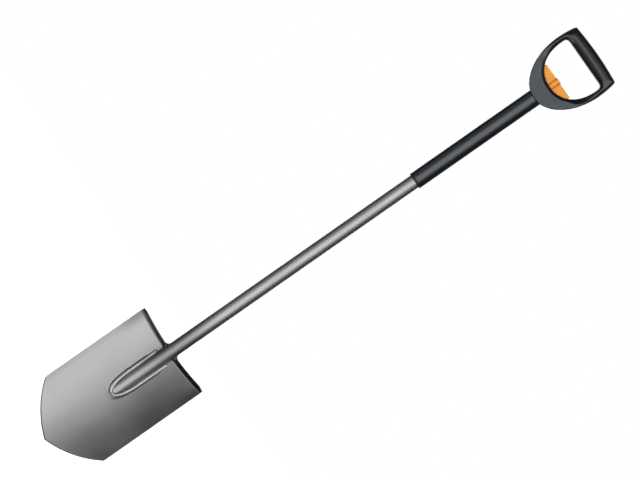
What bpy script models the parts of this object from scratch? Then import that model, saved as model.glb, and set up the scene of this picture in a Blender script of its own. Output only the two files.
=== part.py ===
"""Telescopic garden spade with a pointed steel blade, hanging upright by its D-handle.

Lengths are in millimetres until add_object turns them into metres. +Z runs up along the shaft, the hollow
front of the blade faces -Y, and the origin is the middle of the underside of the grip bar, where it hangs.
"""

import bmesh
import bpy
import math
from mathutils import Vector

MM = 0.001
GAP = 0.3            # clearance between neighbouring pieces
SHARP = math.radians(35)

# D-handle
GRIP_DIAMETER = 30.2           # in the middle; the grip thins a little towards its ends
GRIP_CROWN_RADIUS = 630.0
HANDLE_HALF_WIDTH = 67.8
HANDLE_WIDEST_Z = -10.8
HANDLE_CURVE_DEPTH = 104.0     # half-height of the ellipse that the outer edge follows
NECK_Z = -114.8                # lower end of the handle, where the upper tube comes out
OPENING_HALF_WIDTH = 55.0
OPENING_WIDEST_Z = -13.0
OPENING_BOTTOM_Z = -78.0
OPENING_POWER = 2.2
OPENING_CORNER_POWER = 12.6
HANDLE_CORNER_POWER = 70.0
NECK_CORNER_POWER = 150.0
RAY_CENTRE_Z = -35.0           # the rings of the handle's mesh fan out from here
HUB_HALF_DEPTH = 18.5
ARM_HALF_DEPTH = 12.5
HUB_FULL_DEPTH_Z = -84.0
ARM_THIN_Z = -22.0
INNER_BEVEL_WIDTH = 6.0        # the edge round the opening, seen from the front
INNER_BEVEL_DEPTH = 6.0
OUTER_ROUND = 2.2
GRIP_HOLLOW_RADIUS = 9.5
GRIP_HOLLOW_HALF_LENGTH = 50.0
SCREW_PLACES = ((57.5, 14.0), (48.0, -68.0), (27.0, -97.0))

# Trigger in the handle's opening
TRIGGER_HALF_WIDTH = 37.8
TRIGGER_TOP_Z = -59.1
TRIGGER_CREST_Z = -57.2
TRIGGER_BOTTOM_Z = -86.0
TRIGGER_HALF_DEPTH = 8.2
TRIGGER_POWER = 2.4
TRIGGER_TRAVEL = 8.0
GROOVE_OFFSET = 5.5
GROOVE_WIDTH = 2.4
GROOVE_DEPTH = 1.2
CREST_HALF_WIDTH = 5.8
CREST_FOOT = 7.0

# Tubes
SLEEVE_RADIUS = 16.5
SLEEVE_WALL = 1.4
SLEEVE_TOP_Z = -100.0
SLEEVE_BOTTOM_Z = -384.2
SHAFT_RADIUS = 13.5
SHAFT_WALL = 1.5
SHAFT_TOP_Z = -325.0
COLLAR_TOP_Z = -354.0
COLLAR_LIP_Z = -380.0
BUSH_CAP = 4.0

# Lock inside the tubes
CARRIER_FLATS = 12.0
CARRIER_BORE = 4.0
PLUG_TOP_Z = -104.0
PLUG_BOTTOM_Z = -118.0
SPRING_WELL_Z = -114.0
SPRING_WELL_RADIUS = 6.3
ROD_RADIUS = 3.0
CAGE_TOP_Z = -334.0
CAGE_BOTTOM_Z = -374.0
CAGE_RADIUS = 11.4
CAGE_BORE = 8.4
SHOE_TOP_Z = -346.0
SHOE_BOTTOM_Z = -366.0
SHOE_RADIUS = 11.7
SHOE_HALF_WIDTH = 6.7
CONE_TOP_Z = -344.0
CONE_BOTTOM_Z = -370.0
CONE_TOP_RADIUS = 4.5
CONE_TAPER = 1.0 / 8.0
RING_Z = -356.0

# Blade
BLADE_HALF_WIDTH = 94.4
BLADE_SIDE_END_Z = -1153.4
BLADE_TIP_Z = -1220.9
BLADE_EDGE_BULGE = 8.5
BLADE_THICKNESS = 2.0
BLADE_CURVE_RADIUS = 279.0
BLADE_LIFT = math.radians(10.0)
SHAFT_END_Z = -1069.0          # where the front of the shaft meets the blade
CREASE_Z = -944.4
CREASE_RISE = 7.5              # the crease is this much higher at the corners
TREAD_BEND = math.radians(68.0)
TREAD_BEND_RADIUS = 5.0
TREAD_LENGTH = 14.0
TREAD_END_LENGTH = 8.0
TREAD_MIDDLE_LENGTH = 1.2      # behind the shaft the sheet ends at the crease
TREAD_INNER_X = 16.0
CHANNEL_FLOOR_Y = SHAFT_RADIUS + GAP
SHAFT_END_GAP = 1.0            # between the cut shaft and the channel, under the weld
CHANNEL_START_Z = -958.0
CHANNEL_TAPER_Z = -1014.0
CHANNEL_HALF_WIDTH = 15.2
SOCKET_POWER = 2.6             # 2 would end the channel and the weld in half an ellipse; more is squarer
CHANNEL_WIDEST_Z = -980.0
CHANNEL_TOP_Z = -955.0
CHANNEL_TOP_HALF_WIDTH = 8.0   # at the tread the channel only holds the back of the shaft
CHANNEL_WALL = 6.0
WELD_SEAT_GAP = 0.5            # between the weld and the curved sheet it lies on
GROUND_WIDTH = 2.4
GROUND_DROP = 1.0


def clear_scene():
    for obj in list(bpy.data.objects):
        bpy.data.objects.remove(obj, do_unlink=True)


def make_material(name, color, metallic, roughness):
    material = bpy.data.materials.new(name)
    material.use_nodes = True
    shader = material.node_tree.nodes["Principled BSDF"]
    shader.inputs["Base Color"].default_value = (*color, 1.0)
    shader.inputs["Metallic"].default_value = metallic
    shader.inputs["Roughness"].default_value = roughness
    return material


def make_empty(name, z=0.0):
    empty = bpy.data.objects.new(name, None)
    empty.location = (0.0, 0.0, z * MM)
    bpy.context.scene.collection.objects.link(empty)
    return empty


def add_object(name, points, faces, material=None, parent=None):
    """One closed body from points in millimetres; without a material it is a cutter."""
    base = parent.location if parent else Vector()
    mesh = bpy.data.meshes.new(name)
    mesh.from_pydata([Vector(p) * MM - base for p in points], [], faces)
    bm = bmesh.new()
    bm.from_mesh(mesh)
    bmesh.ops.recalc_face_normals(bm, faces=bm.faces)
    bm.to_mesh(mesh)
    bm.free()
    mesh.shade_smooth()
    mesh.set_sharp_from_angle(angle=SHARP)
    obj = bpy.data.objects.new(name, mesh)
    bpy.context.scene.collection.objects.link(obj)
    if material:
        mesh.materials.append(material)
        obj.parent = parent
    else:
        obj.hide_render = True
        obj.display_type = "WIRE"
    return obj


def skin(name, loops, material=None, parent=None, wrap=False):
    """Joins equal loops of points with quads; the ends are capped unless the last loop meets the first."""
    count = len(loops[0])
    points = [p for loop in loops for p in loop]
    faces = []
    for i in range(len(loops) if wrap else len(loops) - 1):
        a = i * count
        b = (i + 1) % len(loops) * count
        for k in range(count):
            n = (k + 1) % count
            faces.append((a + k, a + n, b + n, b + k))
    if not wrap:
        faces.append(tuple(range(count)))
        faces.append(tuple(range(len(points) - count, len(points))))
    return add_object(name, points, faces, material, parent)


def place(axis, across, other, along):
    """A point from two coordinates across an axis and one along it."""
    if axis == "X":
        return (along, across, other)
    if axis == "Y":
        return (other, along, across)
    return (across, other, along)


def circle(radius, along, axis="Z", centre=(0.0, 0.0), segments=32, turn=0.0):
    points = []
    for k in range(segments):
        a = turn + math.tau * k / segments
        points.append(place(axis, centre[0] + radius * math.cos(a), centre[1] + radius * math.sin(a), along))
    return points


def turned(name, profile, material=None, parent=None, axis="Z", centre=(0.0, 0.0), segments=32, ring=False):
    """A round piece from (radius, place along the axis) pairs; ring joins the profile's two ends."""
    loops = [circle(radius, along, axis, centre, segments) for radius, along in profile]
    return skin(name, loops, material, parent, wrap=ring)


def tube(name, outer, inner, low, high, material=None, parent=None, segments=32):
    profile = ((outer, low), (outer, high), (inner, high), (inner, low))
    return turned(name, profile, material, parent, segments=segments, ring=True)


def prism(name, outline, y_front, y_back, material=None, parent=None):
    """An outline of (x, z) points given thickness from front to back."""
    return skin(name, [[(x, y, z) for x, z in outline] for y in (y_front, y_back)], material, parent)


def box(name, x_range, y_range, z_range):
    left, right = x_range
    low, high = z_range
    return prism(name, [(left, low), (right, low), (right, high), (left, high)], *y_range)


def cut(target, cutter, operation="DIFFERENCE"):
    modifier = target.modifiers.new(cutter.name, "BOOLEAN")
    modifier.object = cutter
    modifier.operation = operation


def ease(value, start, end):
    t = min(max((value - start) / (end - start), 0.0), 1.0)
    return t * t * (3.0 - 2.0 * t)


def mix(a, b, t):
    return a + (b - a) * t


# ---------------------------------------------------------------- D-handle

def ray_length(angle, inside):
    """How far a ray from the ring centre runs before it leaves a region of the XZ plane."""
    low, high = 0.0, 200.0
    for _ in range(40):
        middle = (low + high) / 2.0
        if inside(middle * math.cos(angle), RAY_CENTRE_Z + middle * math.sin(angle)):
            low = middle
        else:
            high = middle
    return low


def rounded_limit(lengths, power):
    """The shortest of several ray lengths, with the corner between them rounded off."""
    return sum(length ** -power for length in lengths) ** (-1.0 / power)


def flat_limit(angle, z):
    """Length of a ray to a level line, or none if the ray points away from it."""
    rise = math.sin(angle)
    return [(z - RAY_CENTRE_Z) / rise] if rise * (z - RAY_CENTRE_Z) > 1e-6 else []


def outer_ray(angle):
    def inside_curve(x, z):
        return (x / HANDLE_HALF_WIDTH) ** 2 + ((z - HANDLE_WIDEST_Z) / HANDLE_CURVE_DEPTH) ** 2 < 1.0

    def inside_crown(x, z):
        return z < GRIP_DIAMETER - x ** 2 / (2.0 * GRIP_CROWN_RADIUS)

    limits = [ray_length(angle, inside_curve), ray_length(angle, inside_crown)] + flat_limit(angle, NECK_Z)
    return rounded_limit(limits, HANDLE_CORNER_POWER if math.sin(angle) > 0.0 else NECK_CORNER_POWER)


def opening_ray(angle):
    def inside(x, z):
        depth = max(OPENING_WIDEST_Z - z, 0.0) / (OPENING_WIDEST_Z - OPENING_BOTTOM_Z)
        return (abs(x) / OPENING_HALF_WIDTH) ** OPENING_POWER + depth ** OPENING_POWER < 1.0

    return rounded_limit([ray_length(angle, inside)] + flat_limit(angle, 0.0), OPENING_CORNER_POWER)


def handle_section(angle):
    """One cross-section of the handle's ring: a round bar at the grip, flat-faced at the arms and hub."""
    inner = opening_ray(angle)
    outer = outer_ray(angle)
    z = RAY_CENTRE_Z + outer * math.sin(angle)
    width = outer - inner
    flatness = 1.0 - ease(z, -55.0, -2.0)
    if z < ARM_THIN_Z:
        depth = mix(HUB_HALF_DEPTH, ARM_HALF_DEPTH, ease(z, HUB_FULL_DEPTH_Z, ARM_THIN_Z))
    else:
        depth = mix(ARM_HALF_DEPTH, GRIP_DIAMETER / 2.0, ease(z, ARM_THIN_Z, 12.0))
    bevel = min(INNER_BEVEL_WIDTH, width * 0.42)
    wall = depth - INNER_BEVEL_DEPTH
    flat = ((0.0, wall * 0.35), (0.0, wall), (bevel * 0.84, depth - INNER_BEVEL_DEPTH * 0.12), (bevel, depth),
            (mix(bevel, width - OUTER_ROUND, 0.5), depth), (width - OUTER_ROUND, depth),
            (width - 0.3 * OUTER_ROUND, depth - 0.3 * OUTER_ROUND), (width, depth - OUTER_ROUND),
            (width, depth * 0.35))
    points = []
    for k, (across, deep) in enumerate(flat):
        turn = math.pi * (1.0 - (k + 0.5) / len(flat))
        round_across = width / 2.0 * (1.0 + math.cos(turn))
        round_deep = depth * math.sin(turn)
        points.append((mix(round_across, across, flatness), mix(round_deep, deep, flatness)))
    section = [(across, -deep) for across, deep in points] + list(reversed(points))
    ray = (math.cos(angle), math.sin(angle))
    return [((inner + a) * ray[0], deep, RAY_CENTRE_Z + (inner + a) * ray[1]) for a, deep in section]


def trigger_edge(half_width, bottom_z, steps=14):
    """The trigger's lower outline from its right top corner round to its left one."""
    points = []
    for k in range(2 * steps + 1):
        a = math.pi / 2.0 * k / steps
        side = abs(math.cos(a)) ** (2.0 / TRIGGER_POWER) * half_width
        depth = math.sin(a) ** (2.0 / TRIGGER_POWER) * (TRIGGER_TOP_Z - bottom_z)
        points.append((side if k <= steps else -side, TRIGGER_TOP_Z - max(depth, 0.0)))
    return points


def make_handle(parent, plastic, steel):
    rings = 56
    loops = [handle_section(math.tau * (k + 0.5) / rings) for k in range(rings)]
    front = skin("handle_front_shell", loops, plastic, parent, wrap=True)
    rear = skin("handle_rear_shell", loops, plastic, parent, wrap=True)

    reach = 200.0
    cut(front, box("cut_rear_half", (-reach, reach), (-GAP / 2.0, reach), (-reach, reach)))
    cut(rear, box("cut_front_half", (-reach, reach), (-reach, GAP / 2.0), (-reach, reach)))

    pocket_side = TRIGGER_HALF_WIDTH + 2.0 * GAP
    pocket_bottom = TRIGGER_BOTTOM_Z - TRIGGER_TRAVEL - 1.0
    edge = trigger_edge(pocket_side, pocket_bottom + TRIGGER_TRAVEL + 0.4)
    outline = [(pocket_side, OPENING_BOTTOM_Z + 20.0)]
    outline += [(x, z - TRIGGER_TRAVEL - 0.4) for x, z in edge]
    outline += [(-pocket_side, OPENING_BOTTOM_Z + 20.0)]
    pocket_depth = TRIGGER_HALF_DEPTH + 2.0 * GAP
    socket_radius = SLEEVE_RADIUS + GAP
    cutters = [
        prism("cut_trigger_pocket", outline, -pocket_depth, pocket_depth),
        turned("cut_grip_hollow", ((GRIP_HOLLOW_RADIUS, -GRIP_HOLLOW_HALF_LENGTH),
                                   (GRIP_HOLLOW_RADIUS, GRIP_HOLLOW_HALF_LENGTH)),
               axis="X", centre=(0.0, GRIP_DIAMETER / 2.0), segments=20),
        turned("cut_tube_socket", ((socket_radius, NECK_Z - 10.0), (socket_radius, SLEEVE_TOP_Z + GAP)),
               segments=48),
        turned("cut_rod_hole", ((SPRING_WELL_RADIUS + GAP, SLEEVE_TOP_Z - 5.0),
                                (SPRING_WELL_RADIUS + GAP, pocket_bottom + 3.0)), segments=24),
    ]
    for cutter in cutters:
        cut(front, cutter)
        cut(rear, cutter)

    number = 0
    for side in (-1.0, 1.0):
        for x, z in SCREW_PLACES:
            number += 1
            make_handle_screw(number, side * x, z, front, rear, parent, steel)


def handle_rear_y(x, z):
    """How far back the handle's surface is at a screw, seen from behind."""
    if z > 0.0:
        return math.sqrt((GRIP_DIAMETER / 2.0) ** 2 - (z - GRIP_DIAMETER / 2.0) ** 2)
    return mix(HUB_HALF_DEPTH, ARM_HALF_DEPTH, ease(z, HUB_FULL_DEPTH_Z, ARM_THIN_Z))


def make_handle_screw(number, x, z, front, rear, parent, steel):
    """A pan-head screw from behind, sunk in the rear shell and biting in the front one."""
    head_radius, head_height, shank_radius = 3.2, 2.4, 1.6
    seat = handle_rear_y(x, z) - 3.6
    tip = -8.0
    socket_radius, socket_depth = 1.4, 1.4
    profile = (
        (0.5, tip), (shank_radius, tip + 2.5), (shank_radius, seat), (head_radius, seat),
        (head_radius, seat + head_height * 0.6), (head_radius * 0.8, seat + head_height),
        (socket_radius, seat + head_height), (socket_radius * 0.9, seat + head_height - socket_depth),
    )
    centre = (z, x)
    turned(f"handle_screw_{number}", profile, steel, parent, axis="Y", centre=centre, segments=14)
    pilot = shank_radius + GAP
    recess = head_radius + GAP
    hole = turned(f"cut_screw_pilot_{number}", ((pilot, tip - 1.0), (pilot, seat)), axis="Y", centre=centre,
                  segments=14)
    sink = turned(f"cut_screw_head_{number}", ((pilot, -1.0), (pilot, seat - GAP), (recess, seat - GAP),
                                               (recess, HUB_HALF_DEPTH + 5.0)), axis="Y", centre=centre,
                  segments=14)
    cut(front, hole)
    cut(rear, sink)


def make_trigger(parent, plastic):
    outline = trigger_edge(TRIGGER_HALF_WIDTH, TRIGGER_BOTTOM_Z)
    outline += [(-CREST_FOOT, TRIGGER_TOP_Z), (-CREST_HALF_WIDTH, TRIGGER_CREST_Z),
                (CREST_HALF_WIDTH, TRIGGER_CREST_Z), (CREST_FOOT, TRIGGER_TOP_Z)]
    trigger = prism("release_trigger", outline, -TRIGGER_HALF_DEPTH, TRIGGER_HALF_DEPTH, plastic, parent)
    for side in (-1.0, 1.0):
        x_range = (side * GROOVE_OFFSET - GROOVE_WIDTH / 2.0, side * GROOVE_OFFSET + GROOVE_WIDTH / 2.0)
        for face in (-1.0, 1.0):
            y_edges = sorted((face * (TRIGGER_HALF_DEPTH - GROOVE_DEPTH), face * (TRIGGER_HALF_DEPTH + 2.0)))
            groove = box(f"cut_trigger_groove_{side:+.0f}_{face:+.0f}", x_range, y_edges,
                         (TRIGGER_BOTTOM_Z + 6.0, TRIGGER_TOP_Z + 8.0))
            cut(trigger, groove)
    hole = ROD_RADIUS + GAP
    cut(trigger, turned("cut_trigger_rod", ((hole, TRIGGER_BOTTOM_Z - 5.0), (hole, TRIGGER_BOTTOM_Z + 12.0)),
                        segments=20))


# ---------------------------------------------------------------- Tubes

def make_tubes(root, shaft_frame, aluminium, steel, plastic, rubber):
    bore = SLEEVE_RADIUS - SLEEVE_WALL
    sleeve = tube("upper_tube", SLEEVE_RADIUS, bore, COLLAR_LIP_Z + GAP, SLEEVE_TOP_Z, aluminium, root, 48)

    slide = SHAFT_RADIUS + GAP
    seat = bore - GAP
    groove = slide + 1.5
    groove_low, groove_high = SLEEVE_BOTTOM_Z + 1.0, SLEEVE_BOTTOM_Z + 3.2
    collar_profile = (
        (slide + 0.4, SLEEVE_BOTTOM_Z), (SLEEVE_RADIUS - 1.6, SLEEVE_BOTTOM_Z),
        (SLEEVE_RADIUS - 0.5, SLEEVE_BOTTOM_Z + 1.0), (SLEEVE_RADIUS, SLEEVE_BOTTOM_Z + 3.0),
        (SLEEVE_RADIUS, COLLAR_LIP_Z), (seat, COLLAR_LIP_Z), (seat, COLLAR_TOP_Z),
        (slide, COLLAR_TOP_Z), (slide, groove_high), (groove, groove_high), (groove, groove_low),
        (slide, groove_low), (slide, SLEEVE_BOTTOM_Z + 0.4),
    )
    collar = turned("sleeve_collar", collar_profile, plastic, root, segments=32, ring=True)
    tube("wiper_seal", groove - GAP, slide, groove_low + GAP, groove_high - GAP, rubber, root, 32)

    shaft = tube("lower_shaft", SHAFT_RADIUS, SHAFT_RADIUS - SHAFT_WALL, SHAFT_END_Z, SHAFT_TOP_Z, steel,
                 shaft_frame, 48)
    cut(shaft, shaft_end_cutter())

    skirt_low = COLLAR_TOP_Z + GAP
    cap_top = SHAFT_TOP_Z + BUSH_CAP
    flats = CARRIER_FLATS / 2.0 + 2.0 * GAP
    skirt = ((seat, skirt_low), (seat, cap_top), (10.0, cap_top), (10.0, SHAFT_TOP_Z + GAP),
             (slide, SHAFT_TOP_Z + GAP), (slide, skirt_low))
    bush = turned("shaft_guide_bush", skirt, plastic, shaft_frame, segments=32, ring=True)
    web = skin("join_bush_web", [circle(10.5, z) for z in (SHAFT_TOP_Z + GAP, cap_top)])
    cut(bush, web, "UNION")
    cut(bush, skin("cut_bush_hexagon", [circle(flats / math.cos(math.pi / 6.0), z, segments=6)
                                        for z in (SHAFT_TOP_Z - 5.0, cap_top + 5.0)]))

    rivet_z = (SHAFT_TOP_Z + skirt_low) / 2.0
    make_rivet("guide_bush_rivet", rivet_z, SHAFT_RADIUS - SHAFT_WALL + GAP, seat, steel, shaft_frame,
               (shaft, bush))
    collar_rivet_z = (COLLAR_TOP_Z + COLLAR_LIP_Z) / 2.0
    make_rivet("collar_rivet", collar_rivet_z, slide + GAP, SLEEVE_RADIUS, steel, root, (sleeve, collar), 0.8)


def make_rivet(name, z, inner_y, outer_y, material, parent, joined, head=0.0):
    """A rivet that enters from behind, with a low head if it has one."""
    radius, head_radius = 2.0, 3.4
    centre = (z, 0.0)
    profile = [(radius, inner_y), (radius, outer_y + (GAP if head else 0.0))]
    if head:
        profile += [(head_radius, outer_y + GAP), (head_radius, outer_y + head * 0.7),
                    (radius, outer_y + head + GAP)]
    turned(name, profile, material, parent, axis="Y", centre=centre, segments=16)
    hole = radius + GAP
    drill = turned(f"cut_{name}", ((hole, inner_y - 2.0), (hole, outer_y + 3.0)), axis="Y", centre=centre,
                   segments=16)
    for piece in joined:
        cut(piece, drill)


# ---------------------------------------------------------------- Lock

def cone_radius(z):
    return CONE_TOP_RADIUS + (CONE_TOP_Z - z) * CONE_TAPER


def hex_nut(name, flats, low, high, material, parent, bore):
    radius = flats / 2.0 / math.cos(math.pi / 6.0)
    nut = skin(name, [circle(radius, z, segments=6) for z in (low, high)], material, parent)
    cut(nut, skin(f"cut_{name}", [circle(bore, z, segments=20) for z in (low - 1.0, high + 1.0)]))


def make_shoe(name, side, parent, material, groove_cutter):
    """A clamp shoe: cylindrical outside, hollowed inside to sit on the cone."""
    steps = 10
    least = 1.6
    loops = []
    for z in (SHOE_BOTTOM_Z, SHOE_TOP_Z):
        seat = cone_radius(z) + GAP
        across = [mix(-SHOE_HALF_WIDTH, SHOE_HALF_WIDTH, k / steps) for k in range(steps + 1)]
        inner = [(side * math.sqrt(max(seat ** 2 - y ** 2, least ** 2)), y, z) for y in across]
        outer = [(side * math.sqrt(SHOE_RADIUS ** 2 - y ** 2), y, z) for y in reversed(across)]
        loops.append(inner + outer)
    shoe = skin(name, loops, material, parent)
    cut(shoe, groove_cutter)


def make_lock(root, trigger_frame, shoe_frames, steel, plastic, rubber):
    bore = SLEEVE_RADIUS - SLEEVE_WALL
    hexagon = CARRIER_FLATS / 2.0 / math.cos(math.pi / 6.0)
    cage_seat = CAGE_TOP_Z - 6.0

    carrier = skin("lock_carrier", [circle(hexagon, z, segments=6) for z in (cage_seat, PLUG_BOTTOM_Z - 1.0)],
                   plastic, root)
    cut(carrier, skin("join_carrier_plug", [circle(bore - GAP, z, segments=48)
                                            for z in (PLUG_BOTTOM_Z - 2.0, PLUG_TOP_Z)]), "UNION")
    bores = ((CARRIER_BORE, cage_seat - 2.0), (CARRIER_BORE, SPRING_WELL_Z),
             (SPRING_WELL_RADIUS, SPRING_WELL_Z), (SPRING_WELL_RADIUS, PLUG_TOP_Z + 2.0))
    cut(carrier, turned("cut_carrier_bore", bores, segments=24))

    cage_profile = ((CAGE_RADIUS, CAGE_BOTTOM_Z), (CAGE_RADIUS, CAGE_TOP_Z), (hexagon + GAP, CAGE_TOP_Z),
                    (hexagon + GAP, cage_seat - GAP), (CARRIER_BORE + GAP, cage_seat - GAP),
                    (CARRIER_BORE + GAP, cage_seat - 2.0), (CAGE_BORE, cage_seat - 4.0),
                    (CAGE_BORE, CAGE_BOTTOM_Z))
    cage = turned("shoe_cage", cage_profile, plastic, root, ring=True)
    window = SHOE_HALF_WIDTH + GAP
    cut(cage, box("cut_shoe_window", (-20.0, 20.0), (-window, window),
                  (SHOE_BOTTOM_Z - GAP, SHOE_TOP_Z + GAP)))
    ring_half, ring_floor = 0.9, 10.0
    groove = turned("cut_ring_groove", ((20.0, RING_Z - ring_half), (20.0, RING_Z + ring_half),
                                        (ring_floor, RING_Z + ring_half), (ring_floor, RING_Z - ring_half)),
                    segments=30, ring=True)
    cut(cage, groove)
    ring_radius = 0.55
    section = [(ring_floor + GAP + ring_radius * (1.0 + math.cos(math.tau * k / 8)),
                RING_Z + ring_radius * math.sin(math.tau * k / 8)) for k in range(8)]
    turned("shoe_return_ring", section, rubber, root, segments=32, ring=True)

    pin_z = (CAGE_TOP_Z + cage_seat) / 2.0
    for side, label in ((-1.0, "left"), (1.0, "right")):
        ends = sorted((side * (CARRIER_BORE + 0.5), side * (CAGE_RADIUS - 0.2)))
        turned(f"cage_pin_{label}", ((1.2, ends[0]), (1.2, ends[1])), steel, root, axis="X",
               centre=(0.0, pin_z), segments=12)
        drill = turned(f"cut_cage_pin_{label}", ((1.5, side * 2.0), (1.5, side * 20.0)), axis="X",
                       centre=(0.0, pin_z), segments=12)
        cut(carrier, drill)
        cut(cage, drill)
        make_shoe(f"clamp_shoe_{label}", side, shoe_frames[label], steel, groove)

    hole = ROD_RADIUS + GAP
    cone = turned("wedge_cone", ((cone_radius(CONE_BOTTOM_Z), CONE_BOTTOM_Z), (CONE_TOP_RADIUS, CONE_TOP_Z),
                                 (hole, CONE_TOP_Z), (hole, CONE_BOTTOM_Z)), steel, trigger_frame, ring=True)
    nut_low = CONE_BOTTOM_Z - 4.0
    hex_nut("cone_nut", 10.0, nut_low, CONE_BOTTOM_Z - GAP, steel, trigger_frame, hole)
    turned("push_rod", ((ROD_RADIUS * 0.8, nut_low - 1.5), (ROD_RADIUS, nut_low - 0.5),
                        (ROD_RADIUS, TRIGGER_BOTTOM_Z + 11.0), (ROD_RADIUS * 0.8, TRIGGER_BOTTOM_Z + 11.6)),
           steel, trigger_frame, segments=20)
    nut_top = TRIGGER_BOTTOM_Z - GAP
    nut_height = 3.2
    hex_nut("trigger_rod_nut", 10.0, nut_top - nut_height, nut_top, steel, trigger_frame, hole)
    washer_top = nut_top - nut_height - GAP
    washer = 1.2
    tube("spring_seat_washer", 5.7, hole, washer_top - washer, washer_top, steel, trigger_frame, 24)
    make_spring("trigger_return_spring", SPRING_WELL_Z + GAP, washer_top - washer - GAP, trigger_frame, steel)

    pin_radius, pin_y, pin_half = 2.0, 10.0, 17.0
    centre = (pin_y, (PLUG_TOP_Z + PLUG_BOTTOM_Z) / 2.0 + 1.0)
    turned("handle_cross_pin", ((pin_radius, -pin_half), (pin_radius, pin_half)), steel, root, axis="X",
           centre=centre, segments=16)
    reach = pin_half + GAP
    drill = turned("cut_cross_pin", ((pin_radius + GAP, -reach), (pin_radius + GAP, reach)), axis="X",
                   centre=centre, segments=16)
    for name in ("handle_rear_shell", "upper_tube", "lock_carrier"):
        cut(bpy.data.objects[name], drill)


def make_spring(name, low, high, parent, material):
    """A compression spring: a round wire wound on a helix, with closer turns at both ends."""
    turns, per_turn, sides = 6.0, 14, 6
    wire, radius = 0.65, 4.6
    rise = high - low - 2.0 * wire
    steps = int(turns * per_turn)
    loops = []
    for i in range(steps + 1):
        t = i / steps
        eased = t - math.sin(math.tau * t) / math.tau * 0.55
        a = math.tau * turns * t
        z = low + wire + rise * eased
        loop = []
        for k in range(sides):
            b = math.tau * k / sides
            r = radius + wire * math.cos(b)
            loop.append((r * math.cos(a), r * math.sin(a), z + wire * math.sin(b)))
        loops.append(loop)
    skin(name, loops, material, parent)


# ---------------------------------------------------------------- Blade

def channel_floor(z):
    """How far back the pressed channel's floor is; it rises to the blade's face at the shaft's end."""
    rise = ease(z, CHANNEL_START_Z, SHAFT_END_Z - 14.0) ** 0.8
    return mix(CHANNEL_FLOOR_Y, blade_plane(0.0, z), rise)


def blade_plane(x, z):
    """The blade's front face without the channel: hollow across, with the tip leaning forward."""
    centre = -SHAFT_RADIUS + math.tan(BLADE_LIFT) * (z - SHAFT_END_Z)
    return centre - (BLADE_CURVE_RADIUS - math.sqrt(BLADE_CURVE_RADIUS ** 2 - x ** 2))


def channel_half_width(z):
    """Half the width of the channel's floor: narrow at the tread, and a rounded end below the shaft."""
    if z > CHANNEL_TAPER_Z:
        return mix(CHANNEL_HALF_WIDTH, CHANNEL_TOP_HALF_WIDTH, ease(z, CHANNEL_WIDEST_Z, CHANNEL_TOP_Z))
    end_z = SHAFT_END_Z - 8.0
    t = min((CHANNEL_TAPER_Z - z) / (CHANNEL_TAPER_Z - end_z), 1.0)
    return CHANNEL_HALF_WIDTH * max(1.0 - t ** SOCKET_POWER, 0.0) ** (1.0 / SOCKET_POWER)


def blade_face(x, z):
    plane = blade_plane(x, z)
    floor = max(channel_floor(z), plane)
    inner = channel_half_width(z)
    outside = ease(abs(x), inner, inner + CHANNEL_WALL)
    return mix(floor, plane, outside)


def blade_bottom(x):
    """Height of the cutting edge: two arcs that meet in a point."""
    chord_x, chord_z = BLADE_HALF_WIDTH, BLADE_SIDE_END_Z - BLADE_TIP_Z
    half = math.hypot(chord_x, chord_z) / 2.0
    radius = (half ** 2 + BLADE_EDGE_BULGE ** 2) / (2.0 * BLADE_EDGE_BULGE)
    offset = (radius - BLADE_EDGE_BULGE) / (2.0 * half)
    centre_x = chord_x / 2.0 - chord_z * offset
    centre_z = BLADE_TIP_Z + chord_z / 2.0 + chord_x * offset
    return centre_z - math.sqrt(radius ** 2 - (abs(x) - centre_x) ** 2)


def crease_height(x):
    return CREASE_Z + CREASE_RISE * (x / BLADE_HALF_WIDTH) ** 2


def blade_columns():
    near = [0.0, 4.0, 7.5, 9.5, 11.5, 13.0, 14.5, 16.5, 18.5, 21.0, 25.0]
    steps = 6
    far = [mix(near[-1], BLADE_HALF_WIDTH, t / steps) for t in range(1, steps)]
    right = near + far + [BLADE_HALF_WIDTH - 5.0, BLADE_HALF_WIDTH]
    return [-x for x in reversed(right[1:])] + right


def tread_path(reach, bend):
    """Forward and upward travel along the tread: round the bend, then straight."""
    on_bend = min(reach / TREAD_BEND_RADIUS, bend)
    straight = max(reach - TREAD_BEND_RADIUS * bend, 0.0)
    forward = TREAD_BEND_RADIUS * (1.0 - math.cos(on_bend)) + straight * math.sin(bend)
    upward = TREAD_BEND_RADIUS * math.sin(on_bend) + straight * math.cos(bend)
    return forward, upward


def tread_point(x, share):
    """A point on the underside of the tread, share of the way from the crease to its free edge."""
    crease = crease_height(x)
    ends = 1.0 - ease(abs(x), BLADE_HALF_WIDTH - 11.0, BLADE_HALF_WIDTH)
    open_side = ease(abs(x), TREAD_INNER_X - 1.5, TREAD_INNER_X + 2.0)
    length = mix(TREAD_MIDDLE_LENGTH, mix(TREAD_END_LENGTH, TREAD_LENGTH, ends), open_side)
    bend = TREAD_BEND * ease(abs(x), TREAD_INNER_X - 4.0, TREAD_INNER_X - 1.0)
    forward, upward = tread_path(length * share, bend)
    return (x, blade_face(x, crease) - forward, crease + upward)


def blade_grid():
    """Rows of points down the blade's front face, from the tread's free edge to the cutting edge."""
    columns = blade_columns()
    grid = [[tread_point(x, share) for x in columns] for share in (1.0, 0.7, 0.42, 0.28, 0.14)]
    face_rows = 22
    for row in range(face_rows + 1):
        t = row / face_rows
        line = []
        for x in columns:
            z = mix(crease_height(x), blade_bottom(x) + GROUND_WIDTH, t)
            line.append((x, blade_face(x, z), z))
        grid.append(line)
    grid.append([(x, blade_face(x, blade_bottom(x)) + GROUND_DROP, blade_bottom(x)) for x in columns])
    return grid


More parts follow.
